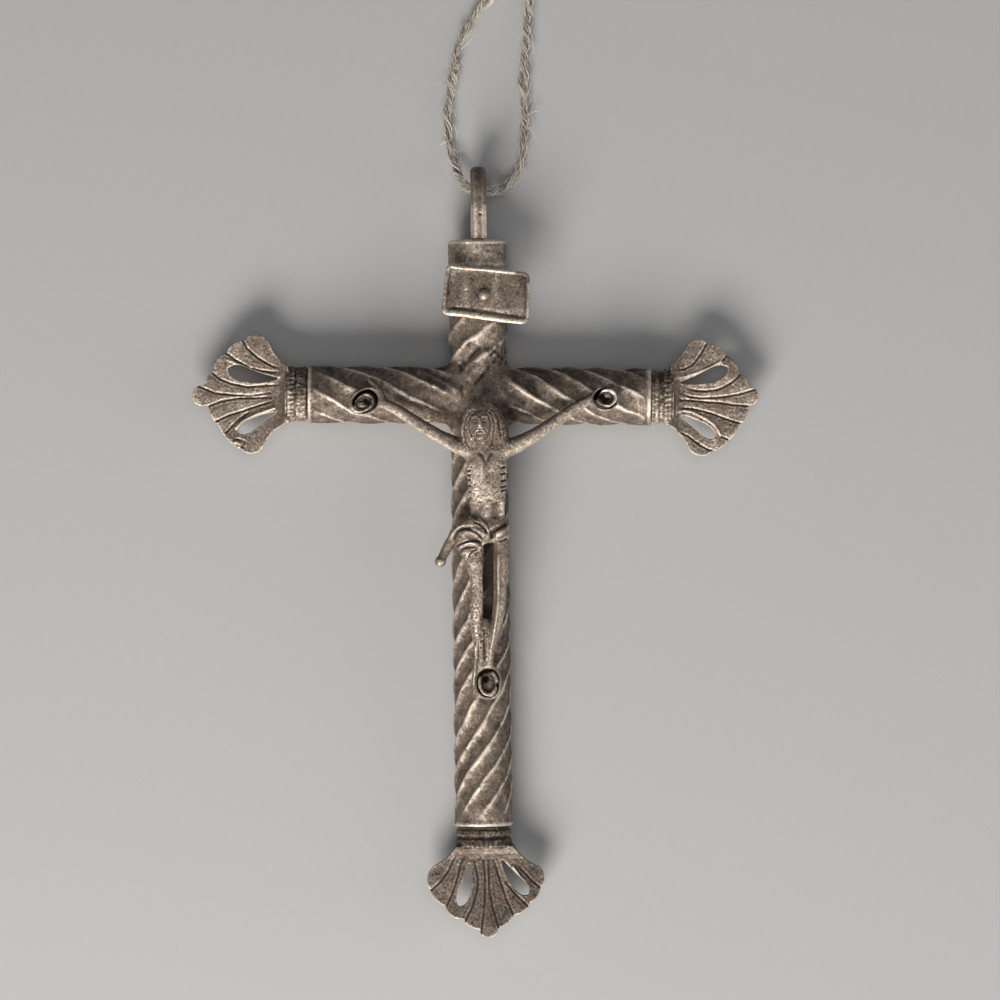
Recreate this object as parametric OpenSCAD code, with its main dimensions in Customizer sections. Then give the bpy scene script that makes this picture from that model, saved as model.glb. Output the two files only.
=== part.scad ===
// Crucifix pendant, lying on its back: a cross of twisted tube with shell finials, a cap with a hanging
// loop, a plate, a figure held by three rolled nails, and a loop of twine.
// X runs to the right arm, Y towards the hanging loop, Z up from the surface that the pendant lies on.
// The modules draw round the centre of the crossing, and laid_down() sets them on the surface.

/* [Cross tube] */
// Radius over the crests of the twisted ribs
crest_r = 4.4; // [3.8:0.1:5.2]
// Depth of the flutes between the ribs
flute_depth = 0.35; // [0.2:0.05:0.5]
// Number of twisted ribs
rib_count = 8; // [6:1:10]
// Length in which a rib of the upright goes once round
upright_lead = 36; // [28:1:48]
// Length in which a rib of the arms goes once round
arm_lead = 48; // [36:1:64]
// Thickness of the metal under the flutes
tube_wall = 0.9; // [0.7:0.1:1.2]
// Length over which the ribs fade out towards an open end
fade_l = 5; // [2:0.5:8]
// From the crossing's centre to the upper end of the tube
top_reach = 18.4; // [17:0.1:24]
// From the crossing's centre to the lower end of the tube
foot_reach = 64.5; // [56:0.5:76]
// From the crossing's centre to the left end of the tube
left_reach = 25.6; // [24:0.1:32]
// From the crossing's centre to the right end of the tube
right_reach = 25.8; // [24:0.1:32]
// Degrees by which the arms fall towards the right
arm_fall = 1.1; // [0:0.1:2]
// Length of the rim at each open end
rim_l = 0.6; // [0.3:0.1:1]

/* [Cap and loop] */
// Height of the cap above the tube
cap_h = 4.8; // [3.5:0.1:6]
// Height of the hanging loop above the cap
loop_h = 10.9; // [9:0.1:14]
// Depth of the hanging loop, from front to back
loop_d = 7.8; // [7.2:0.1:8.2]
// Width of the loop's band
band_w = 2.35; // [1.8:0.05:2.8]
// Thickness of the loop's band
band_t = 1.5; // [1.2:0.05:1.7]

/* [Title plate] */
// Width of the plate
plate_w = 12.8; // [10:0.2:15]
// Height of the plate
plate_h = 7.6; // [6:0.1:9]
// Thickness of the plate's field
plate_t = 0.7; // [0.5:0.1:1.2]
// Height of the raised edge above the field
plate_edge = 0.35; // [0.2:0.05:0.6]
// Degrees by which the plate leans to the right
plate_lean = 7; // [0:1:12]
// From the tube's upper end down to the middle of the plate
plate_drop = 3.3; // [2:0.1:4]
// Diameter of the pin that holds the plate
pin_d = 0.9; // [0.6:0.1:1.4]

/* [Finials] */
// Length of the left finial beyond the tube
left_finial_l = 17.4; // [15:0.1:22]
// Length of the right finial beyond the tube
right_finial_l = 16.2; // [15:0.1:22]
// Length of the lower finial beyond the tube
foot_finial_l = 16.8; // [15:0.1:22]
// Width of each shell
shell_w = 18; // [15:0.2:22]
// Thickness of each shell at its outer edge
shell_t = 1.2; // [0.9:0.1:1.8]
// Depth of the grooves between the shell's lobes
groove_depth = 0.35; // [0.2:0.05:0.4]
// Length of the spigot in the tube's mouth
spigot_l = 5; // [3:0.5:8]

/* [Figure] */
// Length of the figure from crown to toes
figure_l = 44.6; // [42:0.1:46]
// Width of the chest
chest_w = 6.3; // [5:0.1:7.5]
// Depth of the chest from back to front
chest_d = 3.2; // [2.4:0.1:4]
// Thickness of an upper arm
arm_w = 2.1; // [1.6:0.1:2.6]
// Thickness of a thigh
thigh_w = 2.2; // [1.8:0.1:2.6]
// Width of the head with its hair
head_w = 5.7; // [4.8:0.1:6.6]

/* [Nails] */
// From the upright's axis to the nail of the left hand
left_nail_x = 16.9; // [15:0.1:20]
// From the upright's axis to the nail of the right hand
right_nail_x = 18.9; // [15:0.1:20]
// From the arms' axis down to the nails of the hands
hand_drop = 0.7; // [0:0.1:1.5]
// From the arms' axis down to the nail of the feet
foot_nail_y = 42.9; // [41:0.1:46]
// Diameter of a rolled nail
nail_d = 3; // [2.6:0.1:3.6]
// Thickness of the rolled sheet
sheet_t = 0.32; // [0.25:0.01:0.4]
// Length of a nail
nail_l = 5.2; // [4.6:0.1:6.5]

/* [Cord] */
// Diameter of the twine
cord_d = 1.5; // [1.2:0.1:1.6]

/* [Hidden] */

fit_gap = 0.1;
face_gap = 0.1;
metal = [0.53, 0.48, 0.43];
worn_metal = [0.62, 0.57, 0.51];
twine = [0.66, 0.62, 0.55];

bore_r = crest_r - flute_depth - tube_wall;
end_drop = 0.2;
rim_r = crest_r - 0.1;
rib_facets = 5;
ring_turn = 18;
// A crest faces the viewer at these distances along each axis
upright_crest_y = -53.6;
arm_crest_x = -10.8;

cap_r = crest_r - 0.05;
cap_y = top_reach + face_gap;
loop_y = cap_y + cap_h + face_gap;
loop_top_y = loop_y + loop_h;
tenon = [0.7 * band_w, 0.65 * band_t];
tenon_l = 2.4;

front_z = crest_r + face_gap;
plate_x = 1.35;
plate_y = top_reach - plate_drop;
pin_offset = [-0.4, -0.15];
pin_head_r = 0.9;
pin_head_sink = 0.25;
loop_x = 0.3;

fan_half = shell_w / 2;
collar_r = crest_r - 0.2;
neck_l = 3.4;

centre_x = (right_reach + right_finial_l - left_reach - left_finial_l) / 2;
centre_y = (loop_top_y - foot_reach - foot_finial_l) / 2;

module laid_down() translate([-centre_x, -centre_y, crest_r]) children();
module on_arm() rotate([0, 0, -arm_fall]) children();

// Points of a round edge from p to q, whose height is a share of the chord, positive to the right
function arc_points(p, q, sag, count) =
  let (chord = norm(q - p), d = (q - p) / chord, n = [d[1], -d[0]] * sign(sag), h = abs(sag) * chord)
  let (r = (chord * chord / 4 + h * h) / (2 * h), half = atan2(chord / 2, r - h))
  let (c = (p + q) / 2 - n * (r - h))
  [for (i = [0:count - 1]) let (a = half * (2 * i / count - 1)) c + r * (n * cos(a) + d * sin(a))];

// A smooth row between rows b and c of a table
function between(a, b, c, d, t) =
  0.5 * (2 * b + (c - a) * t + (2 * a - 5 * b + 4 * c - d) * t * t + (3 * b - a - 3 * c + d) * t * t * t);
function smoothed(rows, steps) =
  let (last = len(rows) - 1)
  concat([for (i = [0:last - 1]) for (s = [0:steps - 1])
    between(rows[max(i - 1, 0)], rows[i], rows[i + 1], rows[min(i + 2, last)], s / steps)], [rows[last]]);

function unit(v) = v / norm(v);
function place(row) = [row[0], row[1], row[2]];
function heading(rows, i) =
  unit(place(rows[min(i + 1, len(rows) - 1)]) - place(rows[max(i - 1, 0)]));

// A closed tube through rows of x, y, z, half width across and half depth
module limb(rows, sides = 12) {
  rings = len(rows);
  points = [for (i = [0:rings - 1])
    let (t = heading(rows, i), side = unit(cross(t, [0, 0, 1])), up = cross(t, side))
    for (k = [0:sides - 1]) let (a = 360 * (k + 0.5) / sides)
      place(rows[i]) + side * rows[i][3] * cos(a) + up * rows[i][4] * sin(a)];
  faces = concat(
    [[for (k = [0:sides - 1]) k]],
    [for (i = [0:rings - 2]) for (k = [0:sides - 1])
      let (a = i * sides + k, b = i * sides + (k + 1) % sides)
      each [[a, a + sides, b], [b, a + sides, b + sides]]],
    [[for (k = [sides - 1:-1:0]) (rings - 1) * sides + k]]);
  polyhedron(points, faces);
}

// How far the ribs stand out at a place along a member: 0 at an open end, 1 past the fade
function stand_out(from_end) = let (t = min(max((from_end - rim_l) / fade_l, 0), 1)) t * t * (3 - 2 * t);
function rib_r(share, stand) =
  crest_r - end_drop * (1 - stand) - flute_depth * stand * abs(sin(180 * share));

// A twisted member along Z from low to high, with a crest towards crest_dir at crest_at
module twisted(low, high, lead, crest_at, crest_dir, fade_low = true, fade_high = true) {
  sides = rib_count * rib_facets;
  rings = ceil((high - low) / (lead * ring_turn / 360));
  points = [for (j = [0:rings])
    let (z = low + (high - low) * j / rings, turn = crest_dir + 360 * (z - crest_at) / lead)
    let (stand = min(fade_low ? stand_out(z - low) : 1, fade_high ? stand_out(high - z) : 1))
    for (i = [0:sides - 1]) let (a = 360 * i / sides + turn, r = rib_r(i / rib_facets, stand))
      [r * cos(a), r * sin(a), z]];
  faces = concat(
    [[for (i = [0:sides - 1]) i]],
    [for (j = [0:rings - 1]) for (i = [0:sides - 1])
      let (a = j * sides + i, b = j * sides + (i + 1) % sides)
      each [[a, a + sides, b], [b, a + sides, b + sides]]],
    [[for (i = [sides - 1:-1:0]) rings * sides + i]]);
  polyhedron(points, faces);
}

module along_y() rotate([-90, 0, 0]) children();
module along_x() rotate([0, 90, 0]) children();

module rim() cylinder(r = rim_r, h = rim_l, $fn = 72);

module nail_hole(x, y) translate([x, y, 0]) cylinder(r = nail_d / 2 + fit_gap, h = 2 * crest_r, $fn = 48);

module foot_hole(h, grow) {
  for (s = [-1, 1]) translate([foot_nail_x, -foot_nail_y + s * foot_stretch, 0])
    cylinder(r = nail_d / 2 + grow, h = h, $fn = 48);
  translate([foot_nail_x - nail_d / 2 - grow, -foot_nail_y - foot_stretch, 0])
    cube([nail_d + 2 * grow, 2 * foot_stretch, h]);
}

foot_nail_x = 0.9;
foot_stretch = 0.5;
left_nail = [-left_nail_x, -hand_drop];
right_nail = [right_nail_x, -hand_drop];

module at_pin() translate([plate_x + pin_offset[0], plate_y + pin_offset[1], 0]) children();

module cross_tube() color(metal) laid_down() difference() {
  union() {
    along_y() twisted(-foot_reach, top_reach, upright_lead, upright_crest_y, 270, true, false);
    on_arm() along_x() twisted(-left_reach, right_reach, arm_lead, arm_crest_x, 180);
    translate([0, -foot_reach, 0]) along_y() rim();
    on_arm() {
      translate([-left_reach, 0, 0]) along_x() rim();
      translate([right_reach - rim_l, 0, 0]) along_x() rim();
    }
  }
  translate([0, -foot_reach - 1, 0]) along_y()
    cylinder(r = bore_r, h = foot_reach + top_reach + 2, $fn = 72);
  on_arm() translate([-left_reach - 1, 0, 0]) along_x()
    cylinder(r = bore_r, h = left_reach + right_reach + 2, $fn = 72);
  nail_hole(left_nail[0], left_nail[1]);
  nail_hole(right_nail[0], right_nail[1]);
  foot_hole(2 * crest_r, fit_gap);
  at_pin() cylinder(r = (pin_d + fit_gap) / 2, h = 2 * crest_r, $fn = 32);
}

module top_cap() color(metal) laid_down() translate([0, cap_y, 0]) difference() {
  bevel = 0.3;
  plug_l = 4;
  along_y() rotate_extrude($fn = 72) polygon([[0, -plug_l], [bore_r - fit_gap, -plug_l],
    [bore_r - fit_gap, 0], [cap_r, 0], [cap_r, cap_h - bevel], [cap_r - bevel, cap_h], [0, cap_h]]);
  for (s = [-1, 1]) translate([loop_x - tenon[0] / 2 - fit_gap / 2, cap_h - tenon_l - fit_gap,
      s * (loop_d - band_t) / 2 - tenon[1] / 2 - fit_gap / 2])
    cube([tenon[0] + fit_gap, tenon_l + 1, tenon[1] + fit_gap]);
}

// Section of the loop's band: flat faces with worn corners, x across the width, y through the thickness
band_section = let (w = band_w / 2, t = band_t / 2, cw = 0.2 * band_w, ct = 0.3 * band_t)
  [[w - cw, -t], [w, ct - t], [w, t - ct], [w - cw, t],
   [cw - w, t], [-w, t - ct], [-w, ct - t], [cw - w, -t]];

module hanging_loop() color(worn_metal) laid_down() translate([loop_x, loop_y, 0]) {
  mid_r = (loop_d - band_t) / 2;
  leg_l = loop_h - loop_d / 2;
  // The bow is turned round X from the section, which is drawn out from the bow's centre
  translate([0, leg_l, 0]) along_x() rotate_extrude(angle = 180, start = 0, $fn = 96)
    polygon([for (p = band_section) [mid_r + p[1], p[0]]]);
  for (s = [-1, 1]) {
    translate([0, 0, s * mid_r]) along_y() linear_extrude(leg_l) polygon(band_section);
    translate([-tenon[0] / 2, -tenon_l - face_gap, s * mid_r - tenon[1] / 2])
      cube([tenon[0], tenon_l + face_gap + 0.4, tenon[1]]);
  }
}

// Corners of the plate in its own frame, clockwise, as shares of its width and height
plate_corners = [[-0.50, 0.495], [0.475, 0.505], [0.52, -0.51], [-0.495, -0.495]];
plate_corner_r = 0.8;
edge_w = 0.5;
lip_w = 0.8;

// The plate's outline drawn in by a margin, with its lower side drawn in by low_margin
module plate_outline(margin, low_margin) {
  r = max(plate_corner_r - margin, 0.2);
  pts = [for (c = plate_corners) [c[0] * plate_w - sign(c[0]) * (margin + r),
    c[1] * plate_h - sign(c[1]) * ((c[1] < 0 ? low_margin : margin) + r)]];
  polygon([for (i = [0:3])
    let (before = pts[i] - pts[(i + 3) % 4], after = pts[(i + 1) % 4] - pts[i])
    let (from = atan2(before[0], -before[1]), to = atan2(after[0], -after[1]))
    let (turn = ((to - from + 540) % 360) - 180)
    for (k = [0:6]) let (a = from + turn * k / 6) pts[i] + r * [cos(a), sin(a)]]);
}

module title_plate() color(metal) laid_down() translate([0, 0, front_z]) difference() {
  translate([plate_x, plate_y, 0]) rotate([0, 0, -plate_lean]) difference() {
    linear_extrude(plate_t + plate_edge) plate_outline(0, 0);
    translate([0, 0, plate_t]) linear_extrude(plate_edge + 1) plate_outline(edge_w, lip_w);
  }
  at_pin() translate([0, 0, -1]) cylinder(r = (pin_d + fit_gap) / 2, h = plate_t + 2, $fn = 32);
}

module title_pin() color(worn_metal) laid_down() at_pin() {
  head_z = front_z + plate_t + face_gap;
  translate([0, 0, bore_r]) cylinder(r = (pin_d - fit_gap) / 2, h = head_z - bore_r, $fn = 32);
  translate([0, 0, head_z]) intersection() {
    translate([0, 0, -pin_head_sink]) sphere(r = pin_head_r, $fn = 48);
    cylinder(r = pin_head_r, h = pin_head_r, $fn = 48);
  }
}

// Rim of each shell from right to left in its own frame, the tip ahead: across as a share of half the
// width, ahead as a share of the length, and the rise of the edge to the next row as a share of its chord
left_rim = [[0.47, 0.18, -0.08], [0.82, 0.33, 0.30], [0.89, 0.56, 0.15], [0.68, 0.71, 0.17],
  [0.35, 0.82, 0.17], [0.14, 0.89, 0.735], [-0.19, 0.86, 0.12], [-0.50, 0.78, 0.10],
  [-0.91, 0.58, 0.30], [-0.84, 0.37, -0.10], [-0.47, 0.16, 0.02]];
right_rim = [[0.47, 0.17, -0.08], [0.88, 0.36, 0.25], [0.89, 0.57, 0.14], [0.71, 0.72, 0.14],
  [0.46, 0.81, 0.20], [0.13, 0.90, 0.58], [-0.18, 0.90, 0.15], [-0.40, 0.82, 0.12],
  [-0.69, 0.70, 0.14], [-0.89, 0.53, 0.24], [-0.88, 0.34, -0.06], [-0.47, 0.14, 0.02]];
foot_rim = [[0.47, 0.18, -0.08], [0.80, 0.34, 0.22], [0.90, 0.57, 0.14], [0.65, 0.71, 0.20],
  [0.36, 0.83, 0.14], [0.10, 0.92, 0.48], [-0.23, 0.91, 0.12], [-0.48, 0.80, 0.16],
  [-0.76, 0.69, 0.14], [-0.93, 0.56, 0.22], [-0.92, 0.37, -0.10], [-0.47, 0.15, 0.02]];

// Grooves of each shell: tip, middle and root, each across and ahead as the rim's shares
left_grooves = [[0.89, 0.56, 0.60, 0.40, 0.44, 0.24], [0.67, 0.71, 0.49, 0.50, 0.36, 0.24],
  [0.34, 0.82, 0.13, 0.55, 0.15, 0.26], [0.12, 0.89, -0.03, 0.56, 0.04, 0.28],
  [-0.18, 0.86, -0.06, 0.55, -0.06, 0.32], [-0.44, 0.76, -0.23, 0.50, -0.10, 0.28],
  [-0.58, 0.67, -0.40, 0.59, -0.28, 0.50]];
right_grooves = [[0.89, 0.57, 0.68, 0.38, 0.54, 0.24], [0.39, 0.81, 0.24, 0.55, 0.18, 0.29],
  [0.12, 0.90, 0.07, 0.55, 0.04, 0.27], [-0.13, 0.91, -0.02, 0.60, -0.02, 0.34],
  [-0.37, 0.81, -0.14, 0.60, -0.10, 0.36], [-0.86, 0.51, -0.60, 0.40, -0.43, 0.22]];
foot_grooves = [[0.87, 0.57, 0.62, 0.44, 0.50, 0.33], [0.63, 0.70, 0.47, 0.52, 0.42, 0.39],
  [0.34, 0.84, 0.13, 0.57, 0.14, 0.32], [0.07, 0.91, -0.02, 0.62, -0.01, 0.36],
  [-0.23, 0.88, -0.10, 0.60, -0.08, 0.36], [-0.48, 0.80, -0.28, 0.57, -0.21, 0.39],
  [-0.72, 0.72, -0.47, 0.62, -0.30, 0.53], [-0.92, 0.56, -0.73, 0.48, -0.57, 0.39]];

// Pierced drops of each shell: root and far end across and ahead, half width as a share, and the bend
left_drops = [[0.26, 0.25, 0.42, 0.69, 0.13, 0.05], [-0.30, 0.25, -0.66, 0.60, 0.10, 0.03]];
right_drops = [[0.30, 0.25, 0.68, 0.60, 0.10, 0.03], [-0.24, 0.26, -0.50, 0.71, 0.12, 0.05]];
foot_drops = [[0.24, 0.31, 0.43, 0.72, 0.11, 0.04], [-0.29, 0.29, -0.74, 0.62, 0.11, 0.05]];

function on_shell(u, v, l) = [u * fan_half, v * l];

// A curve that runs from p to q and passes m halfway, and its heading
function pull(p, m, q) = 2 * m - (p + q) / 2;
function bent(p, m, q, t) = (1 - t) * (1 - t) * p + 2 * t * (1 - t) * pull(p, m, q) + t * t * q;
function bent_dir(p, m, q, t) = let (c = pull(p, m, q)) unit((1 - t) * (c - p) + t * (q - c));

module rim_shape(rows, l) {
  last = len(rows) - 1;
  pts = [for (r = rows) on_shell(r[0], r[1], l)];
  foot = neck_l - 0.5;
  edge = [for (i = [0:last - 1]) let (fine = norm(pts[i + 1] - pts[i]) > 1.5)
    each arc_points(pts[i], pts[i + 1], rows[i][2], fine ? 6 : 3)];
  polygon(concat([[pts[0][0], foot]], edge, [pts[last], [pts[last][0], foot]]));
}

// Half widths of a groove at its root and at the rim, and how far it runs out past the rim
groove_root_w = 0.12;
groove_tip_w = 0.24;
groove_past = 0.6;
module groove_shape(row, l, steps = 6) {
  p = on_shell(row[4], row[5], l);
  m = on_shell(row[2], row[3], l);
  rim_end = on_shell(row[0], row[1], l);
  q = rim_end + unit(rim_end - m) * groove_past;
  sides = [for (s = [1, -1]) [for (i = [0:steps])
    let (t = i / steps, d = bent_dir(p, m, q, t), w = groove_root_w + (groove_tip_w - groove_root_w) * t)
    bent(p, m, q, t) + s * w * [d[1], -d[0]]]];
  polygon(concat(sides[0], [for (i = [steps:-1:0]) sides[1][i]]));
}

// How wide a drop is along its length: a slow swell and a round end
swell_end = 0.72;
function drop_swell(t) = t < swell_end ? pow(max(t, 0.02) / swell_end, 0.75)
  : sqrt(max(1 - pow((t - swell_end) / (1 - swell_end), 2), 0.004));
module drop_shape(row, l, steps = 14) {
  p = on_shell(row[0], row[1], l);
  q = on_shell(row[2], row[3], l);
  m = (p + q) / 2 - [sign(p[0]) * row[5] * fan_half, 0];
  sides = [for (s = [1, -1]) [for (i = [0:steps])
    let (t = i / steps, d = bent_dir(p, m, q, t), w = row[4] * fan_half * drop_swell(t))
    bent(p, m, q, t) + s * w * [d[1], -d[0]]]];
  polygon(concat(sides[0], [for (i = [steps:-1:0]) sides[1][i]]));
}

// A ring whose edge is cut into teeth
module milled(low, high, r, teeth, depth) translate([0, low, 0]) along_y() linear_extrude(high - low)
  polygon([for (i = [0:2 * teeth - 1]) let (a = 180 * i / teeth) (r - (i % 2) * depth) * [cos(a), sin(a)]]);

module collar(recess_l, band_l, ring_l) {
  groove_l = neck_l - 0.4 - recess_l - band_l - ring_l;
  band_y = recess_l;
  ring_y = band_y + band_l + groove_l;
  translate([0, -spigot_l, 0]) along_y() difference() {
    union() {
      cylinder(r = bore_r - fit_gap, h = spigot_l + face_gap + 0.1, $fn = 72);
      translate([0, 0, spigot_l + face_gap]) cylinder(r = collar_r - 0.35, h = neck_l - face_gap, $fn = 72);
    }
    translate([0, 0, -1]) cylinder(r = bore_r - fit_gap - 1, h = spigot_l, $fn = 48);
  }
  milled(band_y, band_y + band_l, collar_r - 0.05, 46, 0.12);
  milled(ring_y, ring_y + ring_l, collar_r + 0.05, 34, 0.22);
}

// Half thickness of a shell along its length: how far past the neck, and how thick
shell_profile = [[-0.6, 2.7], [0, 2.2], [0.8, 1.3], [1.6, 0.95], [2.8, 0.75]];
module thinning(l) {
  front = concat([for (p = shell_profile) [neck_l + p[0], p[1]]], [[l + 1, shell_t / 2]]);
  back = [for (i = [len(front) - 1:-1:0]) [front[i][0], -front[i][1]]];
  rotate([90, 0, 90]) translate([0, 0, -shell_w]) linear_extrude(2 * shell_w) polygon(concat(front, back));
}

module finial(rows, grooves, drops, l, recess_l, band_l, ring_l) {
  collar(recess_l, band_l, ring_l);
  difference() {
    intersection() {
      translate([0, 0, -crest_r]) linear_extrude(2 * crest_r) rim_shape(rows, l);
      thinning(l);
    }
    for (row = drops) translate([0, 0, -crest_r]) linear_extrude(2 * crest_r) drop_shape(row, l);
    for (row = grooves) translate([0, 0, shell_t / 2 + 0.05 - groove_depth]) linear_extrude(crest_r)
      groove_shape(row, l);
  }
}

module finial_left() color(metal) laid_down() on_arm() translate([-left_reach, 0, 0]) rotate([0, 0, 90])
  finial(left_rim, left_grooves, left_drops, left_finial_l, 0.3, 1.4, 1.0);
module finial_right() color(metal) laid_down() on_arm() translate([right_reach, 0, 0]) rotate([0, 0, -90])
  finial(right_rim, right_grooves, right_drops, right_finial_l, 0.6, 0.5, 1.0);
module finial_bottom() color(metal) laid_down() translate([0, -foot_reach, 0]) rotate([0, 0, 180])
  finial(foot_rim, foot_grooves, foot_drops, foot_finial_l, 0.6, 0.7, 1.1);

// The figure's own frame: across from its middle line as a share of the chest's width, down from the
// crown as a share of its length, and out from its back as a share of the chest's depth
crown_y = -0.9;
figure_x = 1.1;
pad_t = 1.1;
left_pad_edge = 0.45;
right_pad_edge = 0.25;
foot_pad_edge = 0.5;
nail_proud = 0.9;
function on_body(across, down, out) =
  [figure_x + across * chest_w, crown_y - down * figure_l, front_z + out * chest_d];

// Rows of the body's parts: across, down, out, half width and half depth as shares of the size named
torso_rows = [[0, 0.118, 0.50, 0.20, 0.28], [0, 0.145, 0.50, 0.44, 0.38], [0, 0.175, 0.52, 0.52, 0.47],
  [0, 0.230, 0.53, 0.49, 0.50], [0, 0.290, 0.50, 0.46, 0.47], [0, 0.340, 0.45, 0.42, 0.41],
  [0, 0.385, 0.42, 0.41, 0.38], [0.01, 0.430, 0.43, 0.44, 0.41], [0.01, 0.465, 0.42, 0.42, 0.38]];
cloth_rows = [[0, 0.400, 0.42, 0.41, 0.38], [0, 0.420, 0.45, 0.50, 0.45], [0.01, 0.450, 0.45, 0.53, 0.47],
  [0.01, 0.472, 0.43, 0.50, 0.43]];
left_leg_rows = [[-0.27, 0.440, 0.42, 0.50, 0.52], [-0.31, 0.500, 0.44, 0.62, 0.56],
  [-0.32, 0.532, 0.44, 0.62, 0.56], [-0.285, 0.590, 0.40, 0.46, 0.50], [-0.27, 0.644, 0.42, 0.43, 0.47],
  [-0.285, 0.700, 0.46, 0.45, 0.47], [-0.297, 0.758, 0.38, 0.38, 0.42], [-0.256, 0.812, 0.32, 0.32, 0.36],
  [-0.21, 0.868, 0.28, 0.27, 0.30], [-0.18, 0.905, 0.22, 0.26, 0.26]];
right_leg_rows = [[0.30, 0.440, 0.42, 0.50, 0.52], [0.33, 0.500, 0.42, 0.56, 0.54],
  [0.325, 0.532, 0.42, 0.56, 0.54], [0.29, 0.590, 0.40, 0.48, 0.50], [0.276, 0.644, 0.44, 0.455, 0.48],
  [0.245, 0.700, 0.50, 0.43, 0.48], [0.16, 0.758, 0.42, 0.36, 0.42], [0.06, 0.812, 0.36, 0.32, 0.38],
  [0, 0.868, 0.30, 0.30, 0.34], [-0.02, 0.905, 0.22, 0.34, 0.28]];
shin_web_rows = [[-0.06, 0.725, 0.22, 0.24, 0.24], [-0.06, 0.760, 0.26, 0.50, 0.34],
  [-0.08, 0.810, 0.26, 0.42, 0.34], [-0.10, 0.868, 0.24, 0.30, 0.30], [-0.10, 0.905, 0.20, 0.26, 0.26]];
left_foot_rows = [[-0.27, 0.855, 0.25, 0.16, 0.22], [-0.33, 0.895, 0.22, 0.21, 0.24],
  [-0.35, 0.940, 0.20, 0.21, 0.24], [-0.36, 0.975, 0.18, 0.18, 0.20], [-0.36, 0.992, 0.16, 0.08, 0.12]];

left_shoulder = [-0.42, 0.160];
right_shoulder = [0.44, 0.160];
// Rows of both arms: along and up from the shoulder to the nail, out, half width and half depth
arm_rows = [[-0.16, -0.10, 0.50, 0.50, 0.50], [-0.04, -0.05, 0.50, 0.68, 0.60],
  [0.10, 0.07, 0.50, 0.62, 0.58], [0.26, 0.23, 0.45, 0.52, 0.48], [0.44, 0.46, 0.38, 0.47, 0.42],
  [0.59, 0.67, 0.31, 0.44, 0.38], [0.73, 0.86, 0.26, 0.40, 0.33], [0.86, 0.98, 0.22, 0.37, 0.28],
  [0.96, 1.00, 0.18, 0.36, 0.22]];
// Rows of the left hand's fingers: across and up from the nail and out as shares of the nail's diameter
finger_rows = [[0.80, 0.02, 0.17, 0.15, 0.13], [0.68, 0.38, 0.18, 0.22, 0.14], [0.42, 0.78, 0.16, 0.20, 0.13],
  [0.16, 1.08, 0.13, 0.13, 0.10], [0.05, 1.19, 0.11, 0.05, 0.05]];

// Rows of the head: across and half sizes as shares of its width, down and out as the body's
hair_rows = [[-0.14, 0.001, 0.82, 0.10, 0.08], [-0.14, 0.012, 0.81, 0.30, 0.24],
  [-0.14, 0.036, 0.80, 0.44, 0.35], [-0.14, 0.067, 0.80, 0.50, 0.39], [-0.13, 0.098, 0.74, 0.49, 0.37],
  [-0.10, 0.126, 0.62, 0.42, 0.30], [-0.06, 0.150, 0.50, 0.30, 0.20]];
face_rows = [[-0.14, 0.030, 1.10, 0.13, 0.14], [-0.14, 0.042, 1.12, 0.23, 0.25],
  [-0.14, 0.066, 1.12, 0.27, 0.30], [-0.14, 0.092, 1.10, 0.25, 0.29], [-0.14, 0.114, 1.06, 0.18, 0.24],
  [-0.14, 0.128, 1.04, 0.08, 0.12]];
nose_rows = [[-0.14, 0.062, 1.58, 0.035, 0.05], [-0.14, 0.075, 1.64, 0.045, 0.06],
  [-0.14, 0.088, 1.68, 0.07, 0.08], [-0.14, 0.093, 1.60, 0.05, 0.06]];
brow_rows = [[-0.33, 0.066, 1.38, 0.03, 0.05], [-0.24, 0.060, 1.52, 0.04, 0.06],
  [-0.14, 0.062, 1.57, 0.035, 0.06], [-0.04, 0.060, 1.52, 0.04, 0.06], [0.05, 0.066, 1.38, 0.03, 0.05]];
lip_rows = [[-0.24, 0.104, 1.44, 0.02, 0.03], [-0.18, 0.103, 1.54, 0.04, 0.045],
  [-0.10, 0.103, 1.54, 0.04, 0.045], [-0.04, 0.104, 1.44, 0.02, 0.03]];
lid_rows = [[-0.09, 0.073, 1.50, 0.02, 0.03], [-0.03, 0.074, 1.50, 0.05, 0.045],
  [0.03, 0.073, 1.42, 0.02, 0.03]];
beard_rows = [[-0.14, 0.102, 1.10, 0.19, 0.22], [-0.13, 0.118, 1.10, 0.20, 0.22],
  [-0.12, 0.136, 1.00, 0.15, 0.18], [-0.11, 0.150, 0.92, 0.06, 0.08]];
left_lock_rows = [[-0.48, 0.050, 0.75, 0.12, 0.16], [-0.53, 0.088, 0.72, 0.17, 0.20],
  [-0.49, 0.120, 0.68, 0.17, 0.18], [-0.42, 0.150, 0.62, 0.13, 0.13], [-0.36, 0.166, 0.60, 0.06, 0.06]];
right_lock_rows = [[0.12, 0.025, 0.72, 0.14, 0.16], [0.22, 0.055, 0.68, 0.22, 0.24],
  [0.31, 0.090, 0.60, 0.25, 0.26], [0.38, 0.125, 0.54, 0.22, 0.22], [0.42, 0.155, 0.50, 0.12, 0.14]];

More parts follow.
